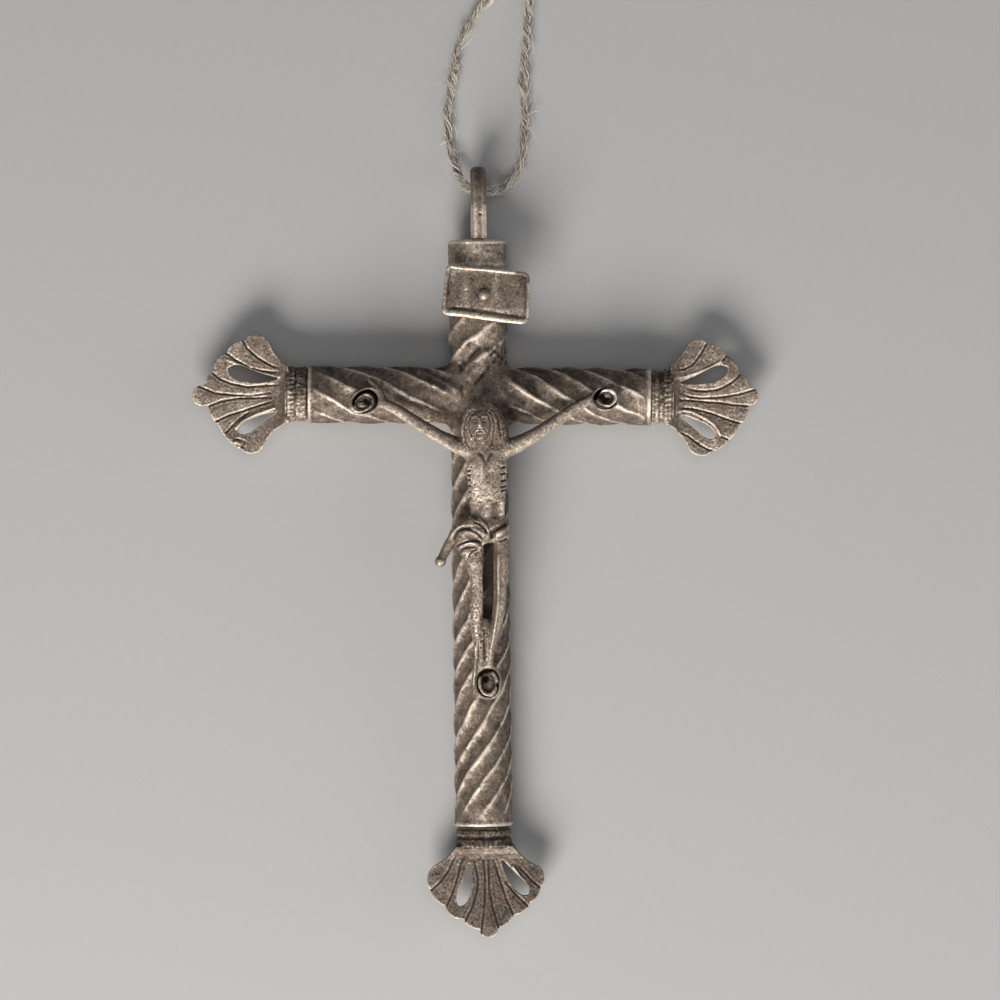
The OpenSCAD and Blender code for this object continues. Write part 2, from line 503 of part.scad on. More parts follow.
// Rows of the cloth's folds: across, down and out as the body's, half sizes as shares of a thigh
fold_rows = [
  [[-0.88, 0.468, 0.30, 0.26, 0.26], [-0.81, 0.438, 0.46, 0.28, 0.28], [-0.60, 0.414, 0.66, 0.28, 0.28],
   [-0.365, 0.405, 0.76, 0.28, 0.26], [-0.15, 0.415, 0.80, 0.26, 0.24], [0.02, 0.440, 0.82, 0.22, 0.22],
   [0.08, 0.466, 0.78, 0.16, 0.18]],
  [[-0.72, 0.474, 0.52, 0.19, 0.24], [-0.58, 0.445, 0.70, 0.21, 0.24], [-0.37, 0.433, 0.82, 0.21, 0.22],
   [-0.18, 0.448, 0.86, 0.19, 0.20], [-0.09, 0.480, 0.78, 0.14, 0.18]],
  [[-0.63, 0.504, 0.56, 0.16, 0.22], [-0.50, 0.478, 0.76, 0.19, 0.22], [-0.33, 0.474, 0.86, 0.19, 0.20],
   [-0.16, 0.491, 0.84, 0.15, 0.18]],
  [[-0.80, 0.450, 0.34, 0.34, 0.30], [-0.94, 0.485, 0.24, 0.38, 0.26],
   [-1.06, 0.515, 0.18, 0.30, 0.22], [-1.13, 0.534, 0.18, 0.22, 0.20]],
  [[0.12, 0.466, 0.78, 0.18, 0.20], [0.28, 0.440, 0.80, 0.30, 0.26], [0.48, 0.420, 0.60, 0.28, 0.30]]];
bunch_rows = [[-0.50, 0.405, 0.44, 0.42, 0.42], [-0.58, 0.435, 0.46, 0.62, 0.52],
  [-0.52, 0.475, 0.48, 0.66, 0.56], [-0.40, 0.515, 0.46, 0.60, 0.54], [-0.34, 0.545, 0.42, 0.50, 0.48]];
knob_r = 0.72;
knob_place = [-1.13, 0.534, 0.18];

function sized(rows, w) =
  [for (r = rows) let (p = on_body(r[0], r[1], r[2])) [p[0], p[1], p[2], r[3] * w, r[4] * w]];
function deep(rows) =
  [for (r = rows) let (p = on_body(r[0], r[1], r[2])) [p[0], p[1], p[2], r[3] * chest_w, r[4] * chest_d]];
function on_head(rows) = [for (r = rows) let (p = on_body(0, r[1], r[2]))
  [figure_x + r[0] * head_w, p[1], p[2], r[3] * head_w, r[4] * head_w]];
function arm(shoulder, hand) = [for (r = arm_rows) [shoulder[0] + r[0] * (hand[0] - shoulder[0]),
  shoulder[1] + r[1] * (hand[1] - shoulder[1]), front_z + r[2] * chest_d, r[3] * arm_w, r[4] * arm_w]];

function at_nail(rows, hand) = [for (r = rows) [hand[0] + r[0] * nail_d, hand[1] + r[1] * nail_d,
  front_z + r[2] * nail_d, r[3] * nail_d, r[4] * nail_d]];
function mirrored(rows, x) = [for (r = rows) [2 * x - r[0], r[1], r[2], r[3], r[4]]];

module hand_pad(place, edge) translate([place[0], place[1], front_z])
  cylinder(r = nail_d / 2 + fit_gap + edge, h = pad_t, $fn = 40);

module head() {
  limb(smoothed(on_head(hair_rows), 2), 16);
  limb(smoothed(on_head(face_rows), 2), 12);
  limb(on_head(nose_rows), 6);
  limb(on_head(brow_rows), 6);
  limb(on_head(lip_rows), 6);
  limb(on_head(lid_rows), 6);
  limb(on_head(mirrored(lid_rows, face_rows[0][0])), 6);
  limb(smoothed(on_head(beard_rows), 2), 10);
  limb(smoothed(on_head(left_lock_rows), 2), 10);
  limb(smoothed(on_head(right_lock_rows), 2), 10);
}

module figure() color(worn_metal) laid_down() difference() {
  union() {
    head();
    limb(smoothed(deep(torso_rows), 2), 16);
    limb(smoothed(deep(cloth_rows), 2), 16);
    limb(smoothed(sized(left_leg_rows, thigh_w), 2), 12);
    limb(smoothed(sized(right_leg_rows, thigh_w), 2), 12);
    limb(sized(shin_web_rows, thigh_w), 8);
    limb(sized(left_foot_rows, thigh_w), 8);
    limb(smoothed(arm(on_body(left_shoulder[0], left_shoulder[1], 0), left_nail), 2), 12);
    limb(smoothed(arm(on_body(right_shoulder[0], right_shoulder[1], 0), right_nail), 2), 12);
    limb(smoothed(at_nail(finger_rows, left_nail), 2), 8);
    limb(smoothed(sized(bunch_rows, thigh_w), 2), 12);
    for (rows = fold_rows) limb(smoothed(sized(rows, thigh_w), 2), 8);
    translate(on_body(knob_place[0], knob_place[1], knob_place[2])) sphere(r = knob_r, $fn = 40);
    hand_pad(left_nail, left_pad_edge);
    hand_pad(right_nail, right_pad_edge);
    translate([0, 0, front_z]) foot_hole(pad_t, fit_gap + foot_pad_edge);
  }
  nail_hole(left_nail[0], left_nail[1]);
  nail_hole(right_nail[0], right_nail[1]);
  foot_hole(3 * crest_r, fit_gap);
}

roll_gap = 0.14;

// Section of a nail: a strip rolled from its outer turn inwards, drawn out along Y by a stretch
module rolled_sheet(stretch, turns, step = 18) {
  pitch = sheet_t + roll_gap;
  count = ceil(360 * turns / step);
  outer = [for (i = [0:count]) let (a = i * step, r = nail_d / 2 - pitch * a / 360) [r, a]];
  inner = [for (i = [count:-1:0]) [outer[i][0] - sheet_t, outer[i][1]]];
  polygon([for (p = concat(outer, inner)) [p[0] * cos(p[1]), p[0] * sin(p[1]) + stretch * sin(p[1])]]);
}

module nail(place, start, turns, stretch = 0) color(worn_metal) laid_down()
  translate([place[0], place[1], front_z + pad_t + nail_proud - nail_l])
    rotate([0, 0, start]) linear_extrude(nail_l) rolled_sheet(stretch, turns);

module nail_left() nail(left_nail, 200, 1.9);
module nail_right() nail(right_nail, 190, 1.7);
module nail_feet() nail([foot_nail_x, -foot_nail_y], 0, 1.8, foot_stretch);

// Route of the twine from the knot through the loop and back: X from the upright's axis, Y from the top
// of the loop, and Z from the surface that it lies on
cord_route = [[7.0, 34.3, 0.8], [6.9, 33.0, 0.8], [6.2, 31.0, 0.8], [4.6, 28.4, 0.8], [3.0, 26.4, 0.8],
  [1.6, 25.0, 0.8], [0.2, 23.2, 0.8], [-1.1, 21.2, 0.8], [-2.0, 19.4, 0.8], [-2.7, 17.6, 0.8],
  [-3.1, 15.6, 0.8], [-3.4, 13.6, 0.8], [-3.8, 11.6, 0.8], [-4.1, 9.4, 0.8], [-4.2, 7.4, 0.8],
  [-4.2, 5.4, 0.8], [-4.0, 3.6, 0.8], [-3.6, 1.8, 0.9], [-3.1, 0.2, 1.3], [-2.5, -1.2, 2.0],
  [-1.9, -2.4, 2.6], [-1.1, -3.0, 3.0], [-0.3, -3.3, 3.1], [0.5, -3.4, 3.1], [1.3, -3.5, 3.1],
  [2.1, -3.6, 2.8], [2.9, -3.5, 2.2], [3.6, -3.3, 1.6], [4.4, -2.8, 1.1], [5.1, -2.2, 0.9],
  [5.8, -1.4, 0.8], [6.4, -0.3, 0.8], [6.8, 1.4, 0.8], [7.1, 3.5, 0.8], [7.3, 5.8, 0.8], [7.4, 8.2, 0.8],
  [7.3, 10.2, 0.8], [7.2, 12.4, 0.8], [7.3, 14.6, 0.8], [7.6, 17.2, 0.8], [7.8, 19.4, 0.8],
  [7.9, 21.4, 0.8], [8.1, 23.4, 0.8], [8.3, 25.4, 0.8], [8.5, 27.4, 0.8], [8.7, 29.4, 0.8],
  [8.8, 31.2, 0.8], [8.7, 33.0, 0.8], [8.6, 34.3, 0.8]];
knot_rows = [[7.8, 34.4, 1.4, 1.7, 1.2], [7.8, 35.0, 1.5, 2.1, 1.4], [7.8, 36.4, 1.6, 2.2, 1.5],
  [7.8, 37.8, 1.5, 1.9, 1.4], [7.9, 38.6, 1.4, 1.4, 1.1]];
tail_routes = [[[7.3, 38.0, 1.4], [6.9, 39.6, 1.1], [6.5, 41.2, 0.8], [6.3, 43.0, 0.8]],
  [[8.5, 38.0, 1.4], [8.9, 39.4, 1.1], [9.4, 40.9, 0.8], [9.7, 42.2, 0.8]]];

function thick(route, r) = [for (p = route) [p[0], p[1], p[2], r, r]];
module from_loop() translate([-centre_x, loop_top_y - centre_y, 0]) children();

module hanging_cord() color(twine) from_loop() limb(thick(cord_route, cord_d / 2), 8);

module cord_knot() color(twine) from_loop() {
  limb(smoothed(knot_rows, 2), 12);
  for (route = tail_routes) limb(thick(route, cord_d / 2 - 0.05), 8);
}

cross_tube();
top_cap();
hanging_loop();
finial_left();
finial_right();
finial_bottom();
title_plate();
title_pin();
figure();
nail_left();
nail_right();
nail_feet();
hanging_cord();
cord_knot();
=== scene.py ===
import math

import bpy
import numpy as np
from bpy.props import FloatProperty, FloatVectorProperty, IntProperty, PointerProperty
from bpy.types import Operator, Panel, PropertyGroup
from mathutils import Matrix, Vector


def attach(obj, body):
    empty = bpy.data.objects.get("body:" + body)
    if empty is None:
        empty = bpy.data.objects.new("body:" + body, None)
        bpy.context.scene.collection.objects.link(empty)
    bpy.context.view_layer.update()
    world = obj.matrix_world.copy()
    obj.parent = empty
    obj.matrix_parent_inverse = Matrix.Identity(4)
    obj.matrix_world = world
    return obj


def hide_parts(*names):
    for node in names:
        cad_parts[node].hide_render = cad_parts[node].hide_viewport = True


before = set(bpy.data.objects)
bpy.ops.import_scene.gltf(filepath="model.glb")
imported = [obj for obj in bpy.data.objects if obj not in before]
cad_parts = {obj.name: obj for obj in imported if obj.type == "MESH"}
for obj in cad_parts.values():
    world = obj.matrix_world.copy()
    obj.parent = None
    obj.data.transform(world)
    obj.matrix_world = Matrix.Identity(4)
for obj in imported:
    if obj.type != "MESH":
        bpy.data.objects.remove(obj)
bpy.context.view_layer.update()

bl_info = {
    "name": "Crucifix pendant",
    "version": (1, 0, 0),
    "blender": (4, 5, 0),
    "location": "3D View > Sidebar > Pendant",
    "description": "Dresses the crucifix pendant in tarnished silver and twine, and lights it on a pale floor",
    "category": "Object",
}

MM = 0.001

# Sizes in millimetres. The pendant is worked in its own frame, from the centre of the crossing
CROSSING = np.array([0.5, 23.5, 4.4])
CREST_R, BORE_R, ROD_R, FILLET = 4.4, 3.15, 4.25, 1.5
TOP, FOOT, LEFT, RIGHT = 18.4, -64.5, -25.6, 25.8
ARM_FALL = math.radians(1.1)
# Middles of the nails and of the plate's pin, and the radius of their holes
LEFT_NAIL, RIGHT_NAIL, FEET_NAIL, PIN = (-16.9, -0.7), (18.9, -0.7), (0.9, -42.9), (0.95, 14.95)
NAIL_HOLE_R, PIN_HOLE_R, FOOT_STRETCH = 1.6, 0.5, 0.5
# Grain of each new mesh, and the most triangles that each piece keeps
GRAIN = {"tube": 0.185, "bore": 0.4, "cap": 0.13, "loop": 0.10, "plate": 0.105, "pin": 0.06,
         "shell_filled": 0.125, "shell": 0.115, "figure": 0.105, "nail": 0.08}
MOST = {"tube": 165000, "cap": 30000, "loop": 25000, "plate": 50000, "pin": 6000, "shell": 85000,
        "figure": 165000, "nail": 24000}


# ---- Modelling helpers ----

def deselect():
    if bpy.context.object and bpy.context.object.mode != "OBJECT":
        bpy.ops.object.mode_set(mode="OBJECT")
    bpy.ops.object.select_all(action="DESELECT")


def pick(*objects):
    deselect()
    for obj in objects:
        obj.select_set(True)
    bpy.context.view_layer.objects.active = objects[0]


def fix_place(obj):
    pick(obj)
    bpy.ops.object.transform_apply(location=True, rotation=True, scale=True)


def rod(radius, low, high, axis="Y", sides=96, centre=(0, 0)):
    """A cylinder along an axis through the crossing frame, between two places in millimetres."""
    deselect()
    mid = (low + high) / 2
    place = {"X": (mid, centre[0], centre[1]), "Y": (centre[0], mid, centre[1]),
             "Z": (centre[0], centre[1], mid)}[axis]
    turn = {"X": (0, math.pi / 2, 0), "Y": (math.pi / 2, 0, 0), "Z": (0, 0, 0)}[axis]
    bpy.ops.mesh.primitive_cylinder_add(vertices=sides, radius=radius, depth=high - low,
                                        location=place, rotation=turn)
    obj = bpy.context.object
    fix_place(obj)
    return obj


def block(size, centre):
    deselect()
    bpy.ops.mesh.primitive_cube_add(size=1, location=centre)
    obj = bpy.context.object
    obj.scale = size
    fix_place(obj)
    return obj


def joined(objects):
    pick(*objects)
    bpy.ops.object.join()
    return bpy.context.object


def modifier(obj, kind, **values):
    pick(obj)
    mod = obj.modifiers.new(kind.title(), kind)
    for name, value in values.items():
        setattr(mod, name, value)
    bpy.ops.object.modifier_apply(modifier=mod.name)


def remesh(obj, size):
    modifier(obj, "REMESH", mode="VOXEL", voxel_size=size, use_smooth_shade=True)


def thin_out(obj, triangles):
    """Brings a mesh down to a number of triangles, where it has more."""
    obj.data.calc_loop_triangles()
    have = len(obj.data.loop_triangles)
    if have > triangles:
        modifier(obj, "DECIMATE", ratio=triangles / have)


def cut(obj, cutters):
    tool = joined(cutters)
    modifier(obj, "BOOLEAN", operation="DIFFERENCE", object=tool, solver="EXACT", use_self=True)
    bpy.data.objects.remove(tool)


def node_copy(node):
    """A copy of a CAD node, merged, in millimetres from the centre of the crossing."""
    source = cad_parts[node]
    deselect()
    mesh = source.data.copy()
    obj = bpy.data.objects.new(node + "_work", mesh)
    bpy.context.collection.objects.link(obj)
    obj.data.materials.clear()
    pick(obj)
    bpy.ops.object.mode_set(mode="EDIT")
    bpy.ops.mesh.select_all(action="SELECT")
    bpy.ops.mesh.remove_doubles(threshold=1e-7)
    bpy.ops.object.mode_set(mode="OBJECT")
    clay = Clay(obj)
    clay.co = clay.co / MM - CROSSING
    clay.write()
    return obj


# Smoothing steps of each scale of relief, and the height that counts as full there
RELIEF_SCALES = [(2, 0.022), (7, 0.075), (20, 0.2)]


class Clay:
    """A mesh whose points are moved by given shapes, as in sculpting."""

    def __init__(self, obj):
        self.obj = obj
        mesh = obj.data
        self.count = len(mesh.vertices)
        co = np.empty(self.count * 3)
        mesh.vertices.foreach_get("co", co)
        self.co = co.reshape(-1, 3)
        pairs = np.empty(len(mesh.edges) * 2, np.int64)
        mesh.edges.foreach_get("vertices", pairs)
        pairs = pairs.reshape(-1, 2)
        self.a, self.b = pairs[:, 0], pairs[:, 1]
        self.degree = np.maximum(np.bincount(pairs.ravel(), minlength=self.count), 1)

    def write(self):
        self.obj.data.vertices.foreach_set("co", np.ascontiguousarray(self.co).ravel())
        self.obj.data.update()

    def normals(self):
        self.write()
        out = np.empty(self.count * 3)
        self.obj.data.vertex_normals.foreach_get("vector", out)
        return out.reshape(-1, 3)

    def mean(self, values):
        """The mean of each point's neighbours."""
        flat = values.reshape(self.count, -1)
        out = np.empty_like(flat)
        for k in range(flat.shape[1]):
            column = flat[:, k]
            out[:, k] = (np.bincount(self.a, column[self.b], self.count)
                         + np.bincount(self.b, column[self.a], self.count)) / self.degree
        return out.reshape(values.shape)

    def melt(self, times, where=None, keep=True):
        """Smooths the surface; with keep, without shrinking it."""
        w = 1.0 if where is None else where[:, None]
        for _ in range(times):
            self.co = self.co + 0.5 * w * (self.mean(self.co) - self.co)
            if keep:
                self.co = self.co - 0.52 * w * (self.mean(self.co) - self.co)

    def push(self, height, normals=None):
        n = self.normals() if normals is None else normals
        self.co = self.co + n * height[:, None]

    def relief(self):
        """How far each point stands out (up to 1) or lies deep (down to -1) at several scales."""
        n = self.normals()
        total = np.zeros(self.count)
        smooth, done = self.co, 0
        for steps, full in RELIEF_SCALES:
            for _ in range(steps - done):
                smooth = 0.5 * smooth + 0.5 * self.mean(smooth)
            done = steps
            total += np.clip(((self.co - smooth) * n).sum(1) / full, -1, 1)
        total = total / len(RELIEF_SCALES)
        total = 0.5 * total + 0.5 * self.mean(total)
        return np.clip(total, -1, 1)

    def store(self, name, values):
        mesh = self.obj.data
        layer = mesh.attributes.get(name) or mesh.attributes.new(name, "FLOAT", "POINT")
        layer.data.foreach_set("value", np.ascontiguousarray(values, dtype=np.float32))


def ramp(x, low, high):
    t = np.clip((x - low) / (high - low), 0, 1)
    return t * t * (3 - 2 * t)


def bell(x, width):
    return np.exp(-(x / width) ** 2)


def spot(co, x, y, size, wide=1.0, high=1.0):
    """1 at a place seen from above, falling off over that size, wider or higher than round."""
    return bell(np.hypot((co[:, 0] - x) / wide, (co[:, 1] - y) / high), size)


def lumps(co, cell, seed):
    """Smooth noise between -1 and 1 on a lattice of that cell size."""
    p = co / cell + 100.0
    i = np.floor(p).astype(np.int64)
    f = p - i
    f = f * f * (3 - 2 * f)
    total = np.zeros(len(co))
    for corner in range(8):
        d = np.array([corner & 1, corner >> 1 & 1, corner >> 2 & 1])
        c = i + d
        n = (c[:, 0] * 73856093) ^ (c[:, 1] * 19349663) ^ (c[:, 2] * 83492791) ^ (seed * 2654435)
        n = n & 0x7FFFFFFF
        n = ((n ^ (n >> 13)) * 1274126177) & 0x7FFFFFFF
        n = (n ^ (n >> 16)) & 0xFFFF
        weight = np.prod(np.where(d == 1, f, 1 - f), axis=1)
        total += weight * (n / 32767.5 - 1)
    return total


def rough(co, *layers):
    """Lumps of several sizes added up: the height, cell size and seed of each."""
    return sum(height * lumps(co, cell, seed) for height, cell, seed in layers)


def to_line(co, points):
    """Distance from each point to a line of points, and how far along it the nearest place is."""
    pts = np.array(points, float)
    best = np.full(len(co), 1e9)
    along = np.zeros(len(co))
    lengths = np.linalg.norm(pts[1:] - pts[:-1], axis=1)
    total, run = lengths.sum(), 0.0
    for p, q, length in zip(pts[:-1], pts[1:], lengths):
        d = (q - p) / length
        t = np.clip((co - p) @ d, 0, length)
        dist = np.linalg.norm(co - (p + t[:, None] * d), axis=1)
        near = dist < best
        best = np.where(near, dist, best)
        along = np.where(near, (run + t) / total, along)
        run += length
    return best, along


def near_lines(co, lines, width):
    """1 on the nearest of several lines, falling off over that width."""
    return np.max([bell(to_line(co, line)[0], width) for line in lines], axis=0)


def stroke(co, points, width, taper=0.15):
    """A soft stroke along a line of points: 1 on the line, thinner towards its ends."""
    dist, along = to_line(co, points)
    return bell(dist, width) * ramp(along, -0.001, taper) * ramp(1 - along, -0.001, taper)


def marks(clay, strokes):
    """Raises (or sinks) the front along listed lines: each is its points, width and height."""
    n = clay.normals()
    facing = ramp(n[:, 2], 0.05, 0.5)
    height = np.zeros(clay.count)
    for points, width, rise in strokes:
        if len(points) == 1:
            height += rise * spot(clay.co, *points[0], width)
        else:
            height += rise * stroke(clay.co[:, :2], points, width)
    clay.push(height * facing, n)


def pits(clay, count, seed, inside, size, depth):
    """Casting pits at chosen points of the surface: their least and most radius and depth."""
    rng = np.random.default_rng(seed)
    chosen = rng.choice(np.flatnonzero(inside), count)
    n = clay.normals()
    sink = np.zeros(clay.count)
    for i in chosen:
        r, deep = rng.uniform(*size), rng.uniform(*depth)
        gap = clay.co - clay.co[i]
        near = np.flatnonzero(np.abs(gap).max(1) < 2.2 * r)
        sink[near] -= deep * bell(np.linalg.norm(gap[near], axis=1), r)
    clay.push(sink, n)


def stand_for(obj, node):
    """Smooths a finished piece's shading, seats it on the pendant and lets it stand for its CAD node."""
    pick(obj)
    bpy.ops.object.shade_smooth()
    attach(obj, "root")
    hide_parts(node)


def seat(obj, node):
    """Brings a finished metal piece to metres, on or over the floor, and seats it."""
    clay = Clay(obj)
    clay.co = (clay.co + CROSSING) * MM
    clay.co[:, 2] = np.maximum(clay.co[:, 2], 0)
    clay.write()
    stand_for(obj, node)


# Each hand nail and its hole: the middle, how much wider than round, how oval, and the long side's way
NAIL_OVALS = [(LEFT_NAIL, 0.12, 0.12, math.radians(28)), (RIGHT_NAIL, 0.07, 0.06, math.radians(5))]


def make_oval(clay):
    """Draws the hand nails and the holes round them from round to oval."""
    for (cx, cy), wide, oval, way in NAIL_OVALS:
        dx, dy = clay.co[:, 0] - cx, clay.co[:, 1] - cy
        share = wide + oval * np.cos(2 * (np.arctan2(dy, dx) - way))
        share = share * (1 - ramp(np.hypot(dx, dy), 1.8, 3.4)) * (clay.co[:, 2] > 0)
        clay.co[:, 0] += dx * share
        clay.co[:, 1] += dy * share


# ---- Materials ----

def colour(value):
    return (value[0], value[1], value[2], 1.0)


class Net:
    """Builds a node tree: node() adds a node and fills its inputs with values or links."""

    def __init__(self, tree):
        self.tree = tree

    def node(self, kind, inputs=None, **values):
        new = self.tree.nodes.new(kind)
        for name, value in values.items():
            setattr(new, name, value)
        for key, value in (inputs or {}).items():
            socket = new.inputs[key]
            if isinstance(value, bpy.types.NodeSocket):
                self.tree.links.new(value, socket)
            else:
                socket.default_value = value
        return new

    def math(self, operation, a, b=0.0, clamp=False):
        return self.node("ShaderNodeMath", {0: a, 1: b}, operation=operation, use_clamp=clamp).outputs[0]

    def add(self, total, *others, clamp=False):
        """The sum of several values; with clamp, kept between 0 and 1."""
        for number, value in enumerate(others, 1):
            total = self.math("ADD", total, value, clamp and number == len(others))
        return total

    def times(self, a, b):
        return self.math("MULTIPLY", a, b)

    def swing(self, value, size):
        """How far a value between 0 and 1 is from its middle, made larger or smaller."""
        return self.times(self.math("SUBTRACT", value, 0.5), size)

    def place(self):
        """The place on the object, in millimetres."""
        place = self.node("ShaderNodeTexCoord").outputs["Object"]
        return self.node("ShaderNodeMapping", {"Vector": place, "Scale": (1000, 1000, 1000)}).outputs[0]

    def attribute(self, name):
        return self.node("ShaderNodeAttribute", attribute_name=name).outputs["Fac"]

    def noise(self, place, scale, detail, rough=0.5, distortion=0.0):
        return self.node("ShaderNodeTexNoise", {"Vector": place, "Scale": scale, "Detail": detail,
                                                "Roughness": rough, "Distortion": distortion}).outputs["Fac"]

    def remap(self, value, low, high, to_low=0.0, to_high=1.0):
        return self.node("ShaderNodeMapRange", {"Value": value, "From Min": low, "From Max": high,
                                                "To Min": to_low, "To Max": to_high}).outputs["Result"]

    def mix(self, share, a, b):
        new = self.node("ShaderNodeMix", data_type="RGBA")
        for socket, value in ((new.inputs[0], share), (new.inputs[6], a), (new.inputs[7], b)):
            if isinstance(value, bpy.types.NodeSocket):
                self.tree.links.new(value, socket)
            else:
                socket.default_value = value
        return new.outputs[2]


def tarnish_group():
    """Old silver: worn bright where it stands out, sooty in the hollows, pitted and scratched between, with
    each piece's stains and painted light and shade.
    """
    settings = bpy.context.scene.pendant
    tree = bpy.data.node_groups.new("Tarnish", "ShaderNodeTree")
    for name, value in (("Soot", 0.0), ("Wear", 1.0), ("Mottle", 1.0), ("Pits", 0.5)):
        tree.interface.new_socket(name, in_out="INPUT", socket_type="NodeSocketFloat").default_value = value
    for name, kind in (("Color", "NodeSocketColor"), ("Roughness", "NodeSocketFloat"),
                       ("Metallic", "NodeSocketFloat"), ("Height", "NodeSocketFloat")):
        tree.interface.new_socket(name, in_out="OUTPUT", socket_type=kind)
    net = Net(tree)
    given = net.node("NodeGroupInput")
    result = net.node("NodeGroupOutput")
    place = net.place()
    # The second attribute holds both real stains and painted light and shade
    relief, stain_and_painted_light, rust = (net.attribute(name) for name in ("relief", "stain_and_painted_light", "rust"))
    broad = net.noise(place, 0.22, 3, 0.6, 0.6)
    middle = net.noise(place, 1.1, 5, 0.65)
    fine = net.noise(place, 2.9, 6, 0.8)
    clump = net.noise(place, 1.6, 3, 0.6)
    deposit = net.remap(net.noise(place, 0.55, 4, 0.7, 0.8), 0.52, 0.68)
    cells = net.node("ShaderNodeTexVoronoi", {"Vector": place, "Scale": 1.7, "Randomness": 1.0},
                     feature="F1").outputs["Distance"]
    pit = net.times(net.remap(cells, 0.10, 0.24, 1.0, 0.0), net.remap(middle, 0.45, 0.62))
    pit = net.times(pit, given.outputs["Pits"])
    drag = net.node("ShaderNodeMapping", {"Vector": place, "Rotation": (0.2, 0.3, 0.9),
                                          "Scale": (0.35, 7.0, 3.0)}).outputs[0]
    scratch = net.noise(drag, 1.0, 3, 0.6)

    # How dull the metal is, from 0 where it is rubbed bright to 1 where soot lies; the pieces' painted light
    # and shade move it too
    worn = net.times(net.math("MAXIMUM", relief, 0.0), given.outputs["Wear"])
    deep = net.math("MAXIMUM", net.times(relief, -1.0), 0.0)
    speckle = net.add(net.swing(broad, 0.7), net.swing(middle, 0.55), net.swing(fine, 1.75))
    dull = net.add(0.50, given.outputs["Soot"], net.times(speckle, given.outputs["Mottle"]),
                   net.times(worn, -0.62), net.times(deep, 0.75), net.times(pit, 0.5), stain_and_painted_light, clamp=True)
    shade = net.node("ShaderNodeValToRGB", {"Fac": dull})
    shade.color_ramp.interpolation = "LINEAR"
    stops = shade.color_ramp.elements
    stops[0].position, stops[0].color = 0.08, colour(settings.worn_colour)
    stops[1].position, stops[1].color = 0.97, colour(settings.soot_colour)
    stops.new(0.45).color = colour(settings.patina_colour)
    stops.new(0.72).color = colour([0.45 * x + 0.55 * y
                                    for x, y in zip(settings.patina_colour, settings.soot_colour)])
    rough = net.add(net.remap(dull, 0.0, 1.0, 0.43, 0.72), net.swing(fine, 0.22))
    height = net.add(net.swing(middle, 0.5), net.swing(fine, 1.1), net.swing(scratch, 0.22),
                     net.times(pit, -0.8))
    crust = net.times(deposit, net.remap(dull, 0.2, 0.7, 0.1, 0.45))
    crust = net.add(crust, net.times(rust, net.remap(clump, 0.47, 0.56)), clamp=True)
    tinted = net.mix(crust, shade.outputs["Color"], colour(settings.deposit_colour))
    for name, value in (("Color", tinted), ("Roughness", rough),
                        ("Metallic", net.remap(dull, 0.1, 0.9, 0.90, 0.30)), ("Height", height)):
        tree.links.new(value, result.inputs[name])
    return tree


def new_material(name):
    """A material with its node builder and its shader."""
    mat = bpy.data.materials.new(name)
    mat.use_nodes = True
    return mat, Net(mat.node_tree), mat.node_tree.nodes["Principled BSDF"]


def silver(name, soot=0.0, wear=1.0, mottle=1.0, pits=0.5, bump=0.5):
    mat, net, shader = new_material(name)
    group = bpy.data.node_groups.get("Tarnish") or tarnish_group()
    old = net.node("ShaderNodeGroup", node_tree=group)
    for key, value in (("Soot", soot), ("Wear", wear), ("Mottle", mottle), ("Pits", pits)):
        old.inputs[key].default_value = value
    relief = net.node("ShaderNodeBump", {"Height": old.outputs["Height"], "Strength": bump,
                                         "Distance": 0.12 * MM})
    for given, taken in (("Color", "Base Color"), ("Roughness", "Roughness"), ("Metallic", "Metallic")):
        net.tree.links.new(old.outputs[given], shader.inputs[taken])
    net.tree.links.new(relief.outputs["Normal"], shader.inputs["Normal"])
    return mat


def twine_material():
    settings = bpy.context.scene.pendant
    mat, net, shader = new_material("Twine")
    place = net.place()
    blotch = net.noise(place, 0.35, 4)
    fleck = net.noise(place, 6.0, 4)
    light = net.add(net.attribute("fibre"), net.swing(blotch, 0.9), net.swing(fleck, 0.5), clamp=True)
    # Painted shade: the strands further in take the shaded colour
    shade = net.mix(light, colour(settings.twine_shade), colour(settings.twine_light))
    bump = net.node("ShaderNodeBump", {"Height": fleck, "Strength": 0.4, "Distance": 0.1 * MM})
    net.tree.links.new(shade, shader.inputs["Base Color"])
    net.tree.links.new(bump.outputs["Normal"], shader.inputs["Normal"])
    shader.inputs["Roughness"].default_value = 0.85
    shader.inputs["Sheen Weight"].default_value = 0.25
    return mat


def floor_material():
    mat, net, shader = new_material("Pale floor")
    pale = bpy.context.scene.pendant.floor_colour
    grain = net.noise(net.place(), 0.9, 3)
    shade = net.mix(grain, colour([0.97 * x for x in pale]), colour(pale))
    net.tree.links.new(shade, shader.inputs["Base Color"])
    shader.inputs["Roughness"].default_value = 0.9
    return mat


